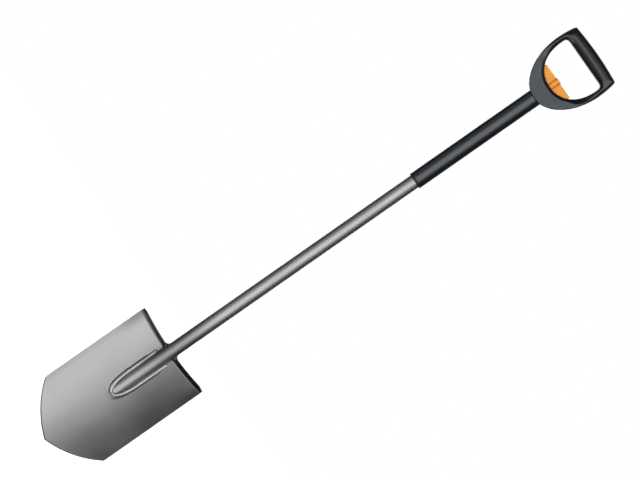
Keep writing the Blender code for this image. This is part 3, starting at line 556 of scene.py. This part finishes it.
def make_blade(steel, ground):
    """One pressed sheet: tread, hollow face with its channel, and a ground cutting bevel."""
    ground_width, ground_drop = 2.4, 1.0
    face_rows = 120
    columns = blade_columns()
    shares = [1.0, 0.85, 0.7, 0.57] + [0.05 * k for k in range(10, 0, -1)]
    grid = [[tread_point(x, share) for x in columns] for share in shares]
    for row in range(face_rows + 1):
        t = row / face_rows
        heights = [mix(crease_height(x), blade_bottom(x) + ground_width, t) for x in columns]
        grid.append([(x, blade_face(x, z), z) for x, z in zip(columns, heights)])
    ground_row = len(grid) - 1
    for t in (0.5, 1.0):
        heights = [blade_bottom(x) + ground_width * (1.0 - t) for x in columns]
        grid.append([(x, blade_face(x, z) + ground_drop * t, z) for x, z in zip(columns, heights)])

    rows, count = len(grid), len(columns)
    points = [Vector(p) for line in grid for p in line]
    normals = []
    for i in range(rows):
        for k in range(count):
            last = count - 1
            down = points[min(i + 1, rows - 1) * count + k] - points[max(i - 1, 0) * count + k]
            across = points[i * count + min(k + 1, last)] - points[i * count + max(k - 1, 0)]
            normals.append(across.cross(down).normalized())
    layer = rows * count
    channel_zone, tread_rows = 24.0, len(shares)
    pressed = []
    for i in range(rows):
        drop = ground_drop * max(i - ground_row, 0) / (rows - 1 - ground_row)
        for k in range(count):
            x, y, z = points[i * count + k]
            upright = i < tread_rows and abs(x) < TREAD_INNER_X - 4.0
            if upright or tread_rows <= i <= ground_row and abs(x) < channel_zone:
                if abs(x) < channel_zone - 2.0:
                    pressed.append(layer + i * count + k)
                points.append(Vector((x, blade_back(x, crease_height(x) if upright else z), z)))
            else:
                points.append(points[i * count + k] + normals[i * count + k] * (BLADE_THICKNESS - drop))
    for _ in range(3):
        eased = [(points[a - 1].y + 2.0 * points[a].y + points[a + 1].y) / 4.0 for a in pressed]
        for a, y in zip(pressed, eased):
            points[a].y = y
    faces = []
    for i in range(rows - 1):
        for k in range(count - 1):
            a = i * count + k
            quad = (a, a + 1, a + 1 + count, a + count)
            faces.append(quad)
            faces.append(tuple(p + layer for p in reversed(quad)))
    rim = list(range(count)) + [i * count + count - 1 for i in range(1, rows)]
    rim += [(rows - 1) * count + k for k in range(count - 2, -1, -1)]
    rim += [i * count for i in range(rows - 2, 0, -1)]
    for k, a in enumerate(rim):
        b = rim[(k + 1) % len(rim)]
        faces.append((a, b, b + layer, a + layer))
    blade = make_object("blade_sheet", points, faces)
    round_edges(blade, 0.45, angle=55.0, segments=2)
    dress(blade, "shaft_and_blade", (steel, ground), ["blade"], angle=math.radians(24.0))
    # The tread's forward-facing edge gets the dark ground steel as painted shade; the cutting bevel gets it
    # as its own ground finish.
    for face in blade.data.polygons:
        centre = face.center / MM
        edge_x = min(abs(centre.x), BLADE_HALF_WIDTH)
        on_tread_edge = centre.z > crease_height(edge_x) + 1.5 and face.normal.y < -0.7
        if on_tread_edge or centre.z < blade_bottom(edge_x) + ground_width * 0.98 and face.normal.y < 0.2:
            face.material_index = 1
    return blade


def make_shaft(steel):
    """The lower tube, cut away at the back where the blade's channel rises through it."""
    wall, rounding = 1.5, 0.4
    corners = ((SHAFT_RADIUS, SHAFT_END_Z), (SHAFT_RADIUS, SHAFT_HIGH.z),
               (SHAFT_RADIUS - wall, SHAFT_HIGH.z), (SHAFT_RADIUS - wall, SHAFT_END_Z))
    shaft = turned("lower_shaft_tube", rounded_profile(corners, rounding, 2), segments=128, ring=True)
    steps = 60
    low, high = SHAFT_END_Z - 10.0, CHANNEL_START_Z + 8.0
    heights = [mix(low, high, k / steps) for k in range(steps + 1)]
    outline = [(channel_floor(z) - 0.4, z) for z in heights] + [(60.0, high), (60.0, low)]
    back = skin("shaft_back", [[(x, y, z) for y, z in outline] for x in (-30.0, 30.0)])
    cut(shaft, back)
    return dress(shaft, "shaft_and_blade", steel, ["lower_shaft"])


def bead_path():
    """The middle of the weld round the shaft's end, from its left end round the point to its right end."""
    half_width, taper = 15.8, 60.0
    half = []
    for k in range(33):
        turn = math.pi / 2.0 * k / 32
        half.append((half_width * math.sin(turn) ** (2.0 / SOCKET_POWER),
                     SHAFT_END_Z - 1.5 + taper * (1.0 - math.cos(turn) ** (2.0 / SOCKET_POWER))))
    top = -956.0
    for k in range(1, 33):
        half.append((half_width, mix(half[32][1], top, k / 32)))
    return [(-x, z) for x, z in reversed(half[1:])] + half


def depth_share(a):
    """Depth round the bead's section, which is flatter on the hidden side."""
    return math.sin(a) if math.sin(a) > 0.0 else 0.75 * math.sin(a)


def make_bead(steel):
    """Weld bead with the ripples that a hand weld leaves."""
    sides, ripple_pitch, ripple = 20, 2.8, 0.07
    thin, thick, flattening, spacing = 2.5, 3.3, 1.2, 0.55
    path = []
    for x, z in bead_path():
        proud = mix(0.6, 1.8, ease(z, CHANNEL_WIDEST_Z, CHANNEL_TOP_Z))
        path.append(Vector((x, blade_plane(0.0, z) - proud, z)))
    spread = []
    for a, b in zip(path, path[1:]):
        steps = max(int((b - a).length / spacing), 1)
        spread += [a.lerp(b, k / steps) for k in range(steps)]
    path = spread + [path[-1]]
    last = len(path) - 1
    travel, loops = 0.0, []
    for i, point in enumerate(path):
        ahead = path[min(i + 1, last)] - path[max(i - 1, 0)]
        outward = ahead.cross(Vector((0.0, -1.0, 0.0))).normalized()
        forward = outward.cross(ahead).normalized()
        travel += (point - path[max(i - 1, 0)]).length
        radius = mix(thin, thick, ease(abs(point.x), 0.0, 12.0))
        radius += ripple * math.sin(math.tau * travel / ripple_pitch)
        end = min(min(i, last - i) * spacing / thick, 1.0)
        radius *= 0.25 + 0.75 * math.sqrt(1.0 - (1.0 - end) ** 2)
        loop = []
        for k in range(sides):
            a = math.tau * k / sides
            loop.append(point + (outward * math.cos(a) * flattening + forward * depth_share(a)) * radius)
        loops.append(loop)
    bead = skin("weld_bead", loops)
    return dress(bead, "shaft_and_blade", steel, ["socket_weld_bead"])


def make_tread_weld(side, label, steel):
    """A hollow fillet from the top of the tread up the side of the shaft, thinning out at both ends."""
    foot, rise, steps, slices = 8.0, 9.0, 12, 24
    start, end = TREAD_BEND_RADIUS * TREAD_BEND + 1.0, TREAD_LENGTH - 1.0
    loops = []
    for n in range(slices + 1):
        reach = end * n / slices
        angle = min(reach / TREAD_BEND_RADIUS, TREAD_BEND)
        forward, upward = tread_path(reach, TREAD_BEND)
        y = blade_plane(TREAD_INNER_X, CREASE_Z) - forward
        z = CREASE_Z + upward
        swell = 0.72 + 0.28 * math.sin(math.pi * max(reach - start, 0.0) / (end - start))
        grown = ease(reach, start - 2.5, start)
        swell *= mix(0.1, 1.0, grown)
        base = mix(1.6, BLADE_THICKNESS + 1.2, grown)
        side_x = math.sqrt(max(SHAFT_RADIUS ** 2 - y ** 2, 0.0))
        outline = [(side_x - 1.0, -3.0), (TREAD_INNER_X + 1.0, -3.0), (TREAD_INNER_X + 1.0, base - 1.0),
                   (SHAFT_RADIUS + foot * swell, base - 1.0)]
        for k in range(steps + 1):
            turn = math.pi / 2.0 * k / steps
            outline.append((mix(SHAFT_RADIUS + foot * swell, side_x, math.sin(turn)),
                            base + 0.3 + rise * swell * (1.0 - math.cos(turn))))
        outline.append((side_x - 1.0, base + 0.3 + rise * swell))
        loops.append([(side * x, y + math.cos(angle) * h, z + math.sin(angle) * h) for x, h in outline])
    weld = skin(f"tread_fillet_{label}", loops)
    round_edges(weld, 0.5, angle=50.0, segments=2)
    return dress(weld, "shaft_and_blade", steel, [f"tread_weld_{label}"])


# ---------------------------------------------------------------- Tubes

def make_sleeve(coating, plastic):
    wall = 1.4
    corners = ((SLEEVE_RADIUS, SLEEVE_LOW.z), (SLEEVE_RADIUS, SLEEVE_HIGH.z),
               (SLEEVE_RADIUS - wall, SLEEVE_HIGH.z), (SLEEVE_RADIUS - wall, SLEEVE_LOW.z))
    sleeve = turned("sleeve_tube", rounded_profile(corners, 0.4, 3), segments=128, ring=True)
    dress(sleeve, "handle", coating, ["upper_tube"])

    slide = SHAFT_RADIUS + GAP
    seat = SLEEVE_RADIUS - wall - GAP
    lip_top = SLEEVE_LOW.z - GAP
    low = COLLAR_LOW.z
    profile = [(slide + 0.5, low), (slide + 1.2, low)]
    for k in range(9):
        turn = math.pi / 2.0 * k / 8
        profile.append((mix(slide + 1.2, SLEEVE_RADIUS, math.sin(turn)), low + 3.4 * (1.0 - math.cos(turn))))
    profile += [(SLEEVE_RADIUS, lip_top - 0.3), (SLEEVE_RADIUS - 0.3, lip_top), (seat, lip_top),
                (seat, COLLAR_HIGH.z), (slide, COLLAR_HIGH.z), (slide, low + 3.2), (slide + 1.5, low + 3.2),
                (slide + 1.5, low + 1.0), (slide, low + 1.0), (slide, low + 0.5)]
    collar = turned("sleeve_end_bush", profile, segments=128, ring=True)
    dress(collar, "handle", plastic, ["sleeve_collar"])


# ---------------------------------------------------------------- D-handle

def ray_length(angle, inside):
    """How far a ray from the ring centre runs before it leaves a region of the XZ plane."""
    low, high = 0.0, 200.0
    for _ in range(40):
        middle = (low + high) / 2.0
        if inside(middle * math.cos(angle), RAY_CENTRE_Z + middle * math.sin(angle)):
            low = middle
        else:
            high = middle
    return low


def rounded_limit(lengths, power):
    return sum(length ** -power for length in lengths) ** (-1.0 / power)


def flat_limit(angle, z):
    rise = math.sin(angle)
    return [(z - RAY_CENTRE_Z) / rise] if rise * (z - RAY_CENTRE_Z) > 1e-6 else []


def outer_ray(angle):
    def inside_curve(x, z):
        return (x / HANDLE_HALF_WIDTH) ** 2 + ((z - HANDLE_WIDEST_Z) / HANDLE_CURVE_DEPTH) ** 2 < 1.0

    def inside_crown(x, z):
        return z < GRIP_DIAMETER - x ** 2 / (2.0 * GRIP_CROWN_RADIUS)

    limits = [ray_length(angle, inside_curve), ray_length(angle, inside_crown)] + flat_limit(angle, NECK_Z)
    return rounded_limit(limits, 70.0 if math.sin(angle) > 0.0 else 150.0)


def opening_ray(angle):
    def inside(x, z):
        depth = max(OPENING_WIDEST_Z - z, 0.0) / (OPENING_WIDEST_Z - OPENING_BOTTOM_Z)
        return (abs(x) / OPENING_HALF_WIDTH) ** OPENING_POWER + depth ** OPENING_POWER < 1.0

    return rounded_limit([ray_length(angle, inside)] + flat_limit(angle, 0.0), 12.6)


def half_section(angle, side):
    """Half of one cross-section of the handle's ring, closed along the joint between the two shells."""
    inner, outer = opening_ray(angle), outer_ray(angle)
    z = RAY_CENTRE_Z + outer * math.sin(angle)
    width = outer - inner
    flatness = 1.0 - ease(z, -55.0, -2.0)
    if z < ARM_THINNEST_Z:
        depth = mix(HUB_HALF_DEPTH, ARM_HALF_DEPTH, ease(z, HUB_DEEPEST_Z, ARM_THINNEST_Z))
    else:
        depth = mix(ARM_HALF_DEPTH, GRIP_DIAMETER / 2.0, ease(z, ARM_THINNEST_Z, 12.0))
    arm = ease(z, -76.0, -44.0)
    bevel, bevel_depth, fullness = mix(6.0, width * 0.86, arm), mix(6.0, 8.0, arm), mix(1.1, 1.5, arm)
    outer_round = 2.0
    wall = depth - bevel_depth
    flat = [(0.0, GAP / 2.0), (0.0, wall * 0.4), (0.0, wall * 0.8)]
    for k in range(1, 13):
        t = math.sin(math.pi / 2.0 * k / 12) ** 2
        flat.append((bevel * t, wall + bevel_depth * (1.0 - (1.0 - t) ** fullness) ** (1.0 / fullness)))
    flat += [(mix(bevel, width - outer_round, t), depth) for t in (0.06, 0.2, 0.45, 0.7, 0.92, 1.0)]
    for k in range(1, 5):
        turn = math.pi / 2.0 * k / 4
        inset, drop = outer_round * (1.0 - math.sin(turn)), outer_round * (1.0 - math.cos(turn))
        flat.append((width - inset, depth - drop))
    flat += [(width, depth * 0.5), (width, depth * 0.2), (width, GAP / 2.0)]
    points = []
    for k, (across, deep) in enumerate(flat):
        turn = math.pi * (1.0 - k / (len(flat) - 1))
        round_across = width / 2.0 * (1.0 + math.cos(turn))
        round_deep = max(depth * math.sin(turn), GAP / 2.0)
        points.append((mix(round_across, across, flatness), mix(round_deep, deep, flatness)))
    points += [(mix(points[-1][0], points[0][0], t), GAP / 2.0) for t in (0.25, 0.5, 0.75)]
    ray = (math.cos(angle), math.sin(angle))
    return [((inner + a) * ray[0], side * deep, RAY_CENTRE_Z + (inner + a) * ray[1]) for a, deep in points]


def ring_angles():
    """Angles of the handle's sections, closer together round the grip's tight corners."""
    right = []
    for start, end, count in ((-90.0, 28.0, 70), (28.0, 62.0, 40), (62.0, 90.0, 14)):
        right += [mix(start, end, k / count) for k in range(count)]
    left = [180.0 - a for a in reversed(right[1:])]
    return [math.radians(a) for a in right + [90.0] + left]


def trigger_depth(x, half_width, full):
    """How far the trigger reaches below its top edge at a place along its width."""
    power = 2.4
    return full * max(1.0 - (abs(x) / half_width) ** power, 0.0) ** (1.0 / power)


def make_handle(plastic):
    """The two shells, hollowed out for the trigger, the tube, the trigger's rod and the screws."""
    clear, steps, open_z = 0.6, 60, OPENING_BOTTOM_Z + 20.0
    pocket_half, pocket_deep = TRIGGER_HIGH.x + clear, TRIGGER_HIGH.y + clear
    pocket_drop = TRIGGER_TRAVEL + 0.4 + clear
    pocket_bottom = TRIGGER_LOW.z - pocket_drop
    outline = [(pocket_half, open_z)]
    for k in range(steps + 1):
        x = mix(pocket_half, -pocket_half, k / steps)
        depth = trigger_depth(x, pocket_half, TRIGGER_TOP_Z - TRIGGER_LOW.z)
        outline.append((x, TRIGGER_TOP_Z - pocket_drop - depth))
    outline.append((-pocket_half, open_z))
    socket_radius, recess_radius = SLEEVE_RADIUS + GAP, 3.5
    screws = screw_places()
    for side, name, node in ((-1.0, "front_handle_shell", "handle_front_shell"),
                             (1.0, "rear_handle_shell", "handle_rear_shell")):
        loops = [half_section(angle, side) for angle in ring_angles()]
        shell = skin(name, loops, wrap=True)
        cutters = [
            skin("pocket", [[(x, y, z) for x, z in outline] for y in (-pocket_deep, pocket_deep)]),
            turned("socket", ((socket_radius, NECK_Z - 10.0), (socket_radius, SLEEVE_HIGH.z + GAP))),
            turned("rod_hole", ((SPRING_WELL_RADIUS, SLEEVE_HIGH.z - 5.0),
                                (SPRING_WELL_RADIUS, pocket_bottom + 3.0))),
        ]
        if side > 0.0:
            for x, z, seat in screws:
                profile = ((recess_radius, seat), (recess_radius, 30.0))
                cutters.append(turned("screw_recess", profile, axis="Y", centre=(z, x), segments=48))
        cut(shell, *cutters)
        dress(shell, "handle", plastic, [node])


# ---------------------------------------------------------------- Trigger

def make_trigger(plastic):
    """The trigger as slices across its width: a rounded bar with a raised rib between two grooves."""
    half_width, half_depth = TRIGGER_HIGH.x, TRIGGER_HIGH.y
    top, crest_top, crest_half, crest_foot = TRIGGER_TOP_Z, TRIGGER_HIGH.z, 5.8, 7.0
    groove_half, groove_depth = 2.3, 0.7
    stations = [half_width * (-1.0 + k / 30) for k in range(61)]
    stations += [side * (GROOVE_X + offset) for side in (-1.0, 1.0)
                 for offset in [groove_half * 1.4 * (k / 8 - 1.0) for k in range(17)]]
    stations = sorted(set(round(x, 4) for x in stations))
    rounding, corner_steps = 1.3, 5
    loops = []
    for x in stations:
        in_groove = 1.0 - ease(abs(abs(x) - GROOVE_X), groove_half * 0.55, groove_half * 1.2)
        rib = 1.0 - ease(abs(x), crest_half - 0.2, crest_foot + 0.2)
        end = ease(half_width - abs(x), -0.6, 2.2)
        deep = (half_depth - groove_depth * in_groove) * mix(0.88, 1.0, end)
        high = top + (crest_top - top) * rib - (1.0 - end) * 0.8
        low = top - max(trigger_depth(x, half_width, top - TRIGGER_LOW.z), 3.0)
        y, above, below = deep - rounding, high - rounding, low + rounding
        loop = []
        for quarter, (centre_y, centre_z) in enumerate(((y, above), (-y, above), (-y, below), (y, below))):
            for k in range(corner_steps + 1):
                turn = math.pi / 2.0 * (quarter + k / corner_steps)
                loop.append((x, centre_y + rounding * math.cos(turn), centre_z + rounding * math.sin(turn)))
        loops.append(loop)
    trigger = skin("orange_trigger", loops)
    sharp = math.radians(50.0)
    return dress(trigger, "trigger", plastic, ["release_trigger"], angle=sharp)


def make_return_spring(steel):
    """The coil spring under the trigger, as one fixed coil that moves with the trigger."""
    low, high = cad_box("trigger_return_spring")
    wire, turns, per_turn, sides = 0.65, 6.0, 36, 12
    radius, rise = high.x - wire, high.z - low.z - 2.0 * wire
    steps = int(turns * per_turn)
    loops = []
    for i in range(steps + 1):
        t = i / steps
        closer = t - math.sin(math.tau * t) / math.tau * 0.55
        a = math.tau * turns * t
        loop = []
        for k in range(sides):
            b = math.tau * k / sides
            r = radius + wire * math.cos(b)
            z = low.z + wire + rise * closer + wire * math.sin(b)
            loop.append((r * math.cos(a), r * math.sin(a), z))
        loops.append(loop)
    spring = skin("return_spring", loops)
    dress(spring, "trigger", steel, ["trigger_return_spring"])
    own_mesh(spring)


# ---------------------------------------------------------------- Fasteners

def screw_places():
    """(x, z, seat) of each handle screw, read from the CAD screws."""
    places = []
    for number in range(1, 7):
        low, high = cad_box(f"handle_screw_{number}")
        places.append(((low.x + high.x) / 2.0, (low.z + high.z) / 2.0, high.y - SCREW_HEAD_HEIGHT))
    return places


def make_screws(steel):
    """Pan-head screws with a six-lobed socket."""
    for number, (x, z, seat) in enumerate(screw_places(), 1):
        shank, head, top = 1.6, 3.2, seat + SCREW_HEAD_HEIGHT
        profile = [(0.4, -8.0), (shank, -5.5), (shank, seat),
                   (head - 0.2, seat), (head, seat + 0.2), (head, seat + 1.3)]
        for k in range(1, 7):
            turn = math.pi / 2.0 * k / 6
            profile.append((mix(head, 1.9, 1.0 - math.cos(turn)), mix(seat + 1.3, top, math.sin(turn))))
        screw = turned(f"pan_head_screw_{number}", profile, axis="Y", centre=(z, x), segments=48)
        loops = []
        for y in (top - 1.5, top + 1.0):
            ring = []
            for k in range(48):
                a = math.tau * k / 48
                r = 1.35 + 0.25 * math.cos(6.0 * a)
                ring.append((x + r * math.sin(a), y, z + r * math.cos(a)))
            loops.append(ring)
        cut(screw, skin("socket_lobes", loops))
        dress(screw, "handle", steel, [f"handle_screw_{number}"])


def make_collar_rivet(steel):
    low, high = cad_box("collar_rivet")
    z = (low.z + high.z) / 2.0
    base, top, head, shank = SLEEVE_RADIUS - 0.1, high.y, high.x, 2.0
    profile = [(shank, low.y), (shank, base), (head, base)]
    for k in range(9):
        turn = math.pi / 2.0 * k / 8
        profile.append((max(head * math.cos(turn), 0.05), mix(base + 0.2, top, math.sin(turn))))
    rivet = turned("domed_rivet", profile, axis="Y", centre=(z, 0.0), segments=48)
    dress(rivet, "handle", steel, ["collar_rivet"])


# ---------------------------------------------------------------- Stage

ROOM_BRIGHTNESS = 0.05
SOFT_BOXES = (
    # azimuth, elevation, roll, half width, half height (degrees), evenly bright share, strength
    (-1.0, -1.0, 20.0, 85.0, 19.0, 0.6, 2.65),
    (38.0, 38.0, 0.0, 38.0, 27.0, 0.3, 3.2),
    (-70.0, 0.0, 32.0, 15.0, 45.0, 0.6, 0.45),
    (28.0, -46.0, -56.0, 26.0, 14.0, 0.6, 3.2),
    (180.0, -5.0, 0.0, 46.0, 60.0, 0.3, 3.4),
)


def direction(azimuth, elevation):
    """A unit vector; azimuth 0 points from the object to the camera and grows to the camera's right."""
    a, e = math.radians(azimuth), math.radians(elevation)
    return Vector((math.sin(a) * math.cos(e), -math.cos(a) * math.cos(e), math.sin(e)))


def make_world():
    """White to the camera; for light and reflections, a dim room with large soft boxes in it."""
    world = bpy.data.worlds.new("studio")
    bpy.context.scene.world = world
    world.use_nodes = True
    nodes, links = world.node_tree.nodes, world.node_tree.links
    nodes.clear()
    ray = nodes.new("ShaderNodeTexCoord").outputs["Generated"]

    def calculate(operation, *values):
        node = nodes.new("ShaderNodeMath")
        node.operation = operation
        for socket, value in zip(node.inputs, values):
            if isinstance(value, (int, float)):
                socket.default_value = value
            else:
                links.new(value, socket)
        return node.outputs[0]

    def along(axis):
        node = nodes.new("ShaderNodeVectorMath")
        node.operation = "DOT_PRODUCT"
        links.new(ray, node.inputs[0])
        node.inputs[1].default_value = axis
        return node.outputs["Value"]

    def soft_box(azimuth, elevation, roll, half_width, half_height, core, strength):
        """An oval light in the direction given; core is the share of its radius that is evenly bright."""
        centre = direction(azimuth, elevation)
        side = Vector((math.cos(math.radians(azimuth)), math.sin(math.radians(azimuth)), 0.0))
        side.rotate(Quaternion(centre, math.radians(roll)))
        upright = centre.cross(side)
        u = calculate("DIVIDE", along(side), math.sin(math.radians(half_width)))
        v = calculate("DIVIDE", along(upright), math.sin(math.radians(half_height)))
        radius = calculate("SQRT", calculate("ADD", calculate("MULTIPLY", u, u), calculate("MULTIPLY", v, v)))
        falloff = nodes.new("ShaderNodeMapRange")
        falloff.interpolation_type = "SMOOTHSTEP"
        falloff.inputs["From Min"].default_value = core
        falloff.inputs["From Max"].default_value = 1.0
        falloff.inputs["To Min"].default_value = strength
        falloff.inputs["To Max"].default_value = 0.0
        links.new(radius, falloff.inputs["Value"])
        return calculate("MULTIPLY", falloff.outputs["Result"], calculate("GREATER_THAN", along(centre), 0.0))

    total = calculate("ADD", soft_box(*SOFT_BOXES[0]), ROOM_BRIGHTNESS)
    for values in SOFT_BOXES[1:]:
        total = calculate("ADD", total, soft_box(*values))

    studio = nodes.new("ShaderNodeBackground")
    studio.inputs["Color"].default_value = (1.0, 1.0, 1.0, 1.0)
    links.new(total, studio.inputs["Strength"])
    backdrop = nodes.new("ShaderNodeBackground")
    backdrop.inputs["Color"].default_value = (1.0, 1.0, 1.0, 1.0)
    choice = nodes.new("ShaderNodeMixShader")
    links.new(nodes.new("ShaderNodeLightPath").outputs["Is Camera Ray"], choice.inputs["Fac"])
    links.new(studio.outputs["Background"], choice.inputs[1])
    links.new(backdrop.outputs["Background"], choice.inputs[2])
    links.new(choice.outputs["Shader"], nodes.new("ShaderNodeOutputWorld").inputs["Surface"])


def make_floor():
    """A plain white floor under the hanging spade, lit evenly so that it runs into the backdrop."""
    height, reach = -1300.0, 20000.0
    steps = 8
    points, faces = [], []
    for i in range(steps + 1):
        for k in range(steps + 1):
            points.append((mix(-reach, reach, k / steps), mix(-reach, reach, i / steps), height))
    for i in range(steps):
        for k in range(steps):
            a = i * (steps + 1) + k
            faces.append((a, a + 1, a + steps + 2, a + steps + 1))
    floor = make_object("floor", points, faces)
    s = Shader("floor_paint", roughness=0.9, color=(0.9, 0.9, 0.9))
    s.principled.inputs["Emission Color"].default_value = (1.0, 1.0, 1.0, 1.0)
    s.principled.inputs["Emission Strength"].default_value = 0.8
    floor.data.materials.append(s.material)
    floor.visible_glossy = False
    floor.visible_diffuse = False


def make_camera():
    """A long lens square to the front, rolled so that the spade lies from lower left to upper right."""
    lean = math.radians(34.93)
    aim = Vector((-11.3, 0.0, -590.5)) * MM
    distance, view_width, sensor = 14.0, 1.1891, 36.0
    right = Vector((math.sin(lean), 0.0, math.cos(lean)))
    up = Vector((-math.cos(lean), 0.0, math.sin(lean)))
    back = Vector((0.0, -1.0, 0.0))
    data = bpy.data.cameras.new("camera")
    data.sensor_width = sensor
    data.lens = sensor * distance / view_width
    data.clip_start, data.clip_end = 0.1, 100.0
    camera = bpy.data.objects.new("camera", data)
    bpy.context.scene.collection.objects.link(camera)
    rotation = Matrix((right, up, back)).transposed()
    camera.matrix_world = Matrix.Translation(aim + back * distance) @ rotation.to_4x4()
    bpy.context.scene.camera = camera


def main():
    bpy.context.scene.view_settings.view_transform = "Standard"
    make_camera()
    make_world()
    make_floor()

    steel = shaft_steel()
    weld = weld_steel("weld_bead_steel", (0.36, 0.36, 0.363), (0.48, 0.48, 0.48))
    # Painted shade: the same weld metal in a much darker tone for the fillets in the corners beside the
    # shaft.
    fillet = weld_steel("weld_fillet_shaded_steel", (0.07, 0.07, 0.072), (0.11, 0.11, 0.11))
    plastic, coating, zinc = handle_plastic(), coated_aluminium(), zinc_steel()
    bearing = inner_plastic("bearing_plastic", (0.009, 0.009, 0.010))
    rubber = inner_plastic("seal_rubber", (0.006, 0.006, 0.006))

    make_blade(blade_steel(), ground_steel_and_tread_shade())
    make_shaft(steel)
    make_bead(weld)
    for side, label in ((-1.0, "left"), (1.0, "right")):
        make_tread_weld(side, label, fillet)
    make_sleeve(coating, bearing)
    make_handle(plastic)
    make_trigger(trigger_plastic())
    make_return_spring(zinc)
    make_screws(zinc)
    make_collar_rivet(zinc)

    hidden = {
        zinc: ("guide_bush_rivet", "handle_cross_pin", "trigger_rod_nut", "spring_seat_washer",
               "push_rod", "cage_pin_left", "cage_pin_right", "wedge_cone", "cone_nut",
               "clamp_shoe_left", "clamp_shoe_right"),
        bearing: ("shaft_guide_bush", "lock_carrier", "shoe_cage"),
        rubber: ("wiper_seal", "shoe_return_ring"),
    }
    for material, nodes in hidden.items():
        for node in nodes:
            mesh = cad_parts[node].data
            mesh.materials.clear()
            mesh.materials.append(material)


main()
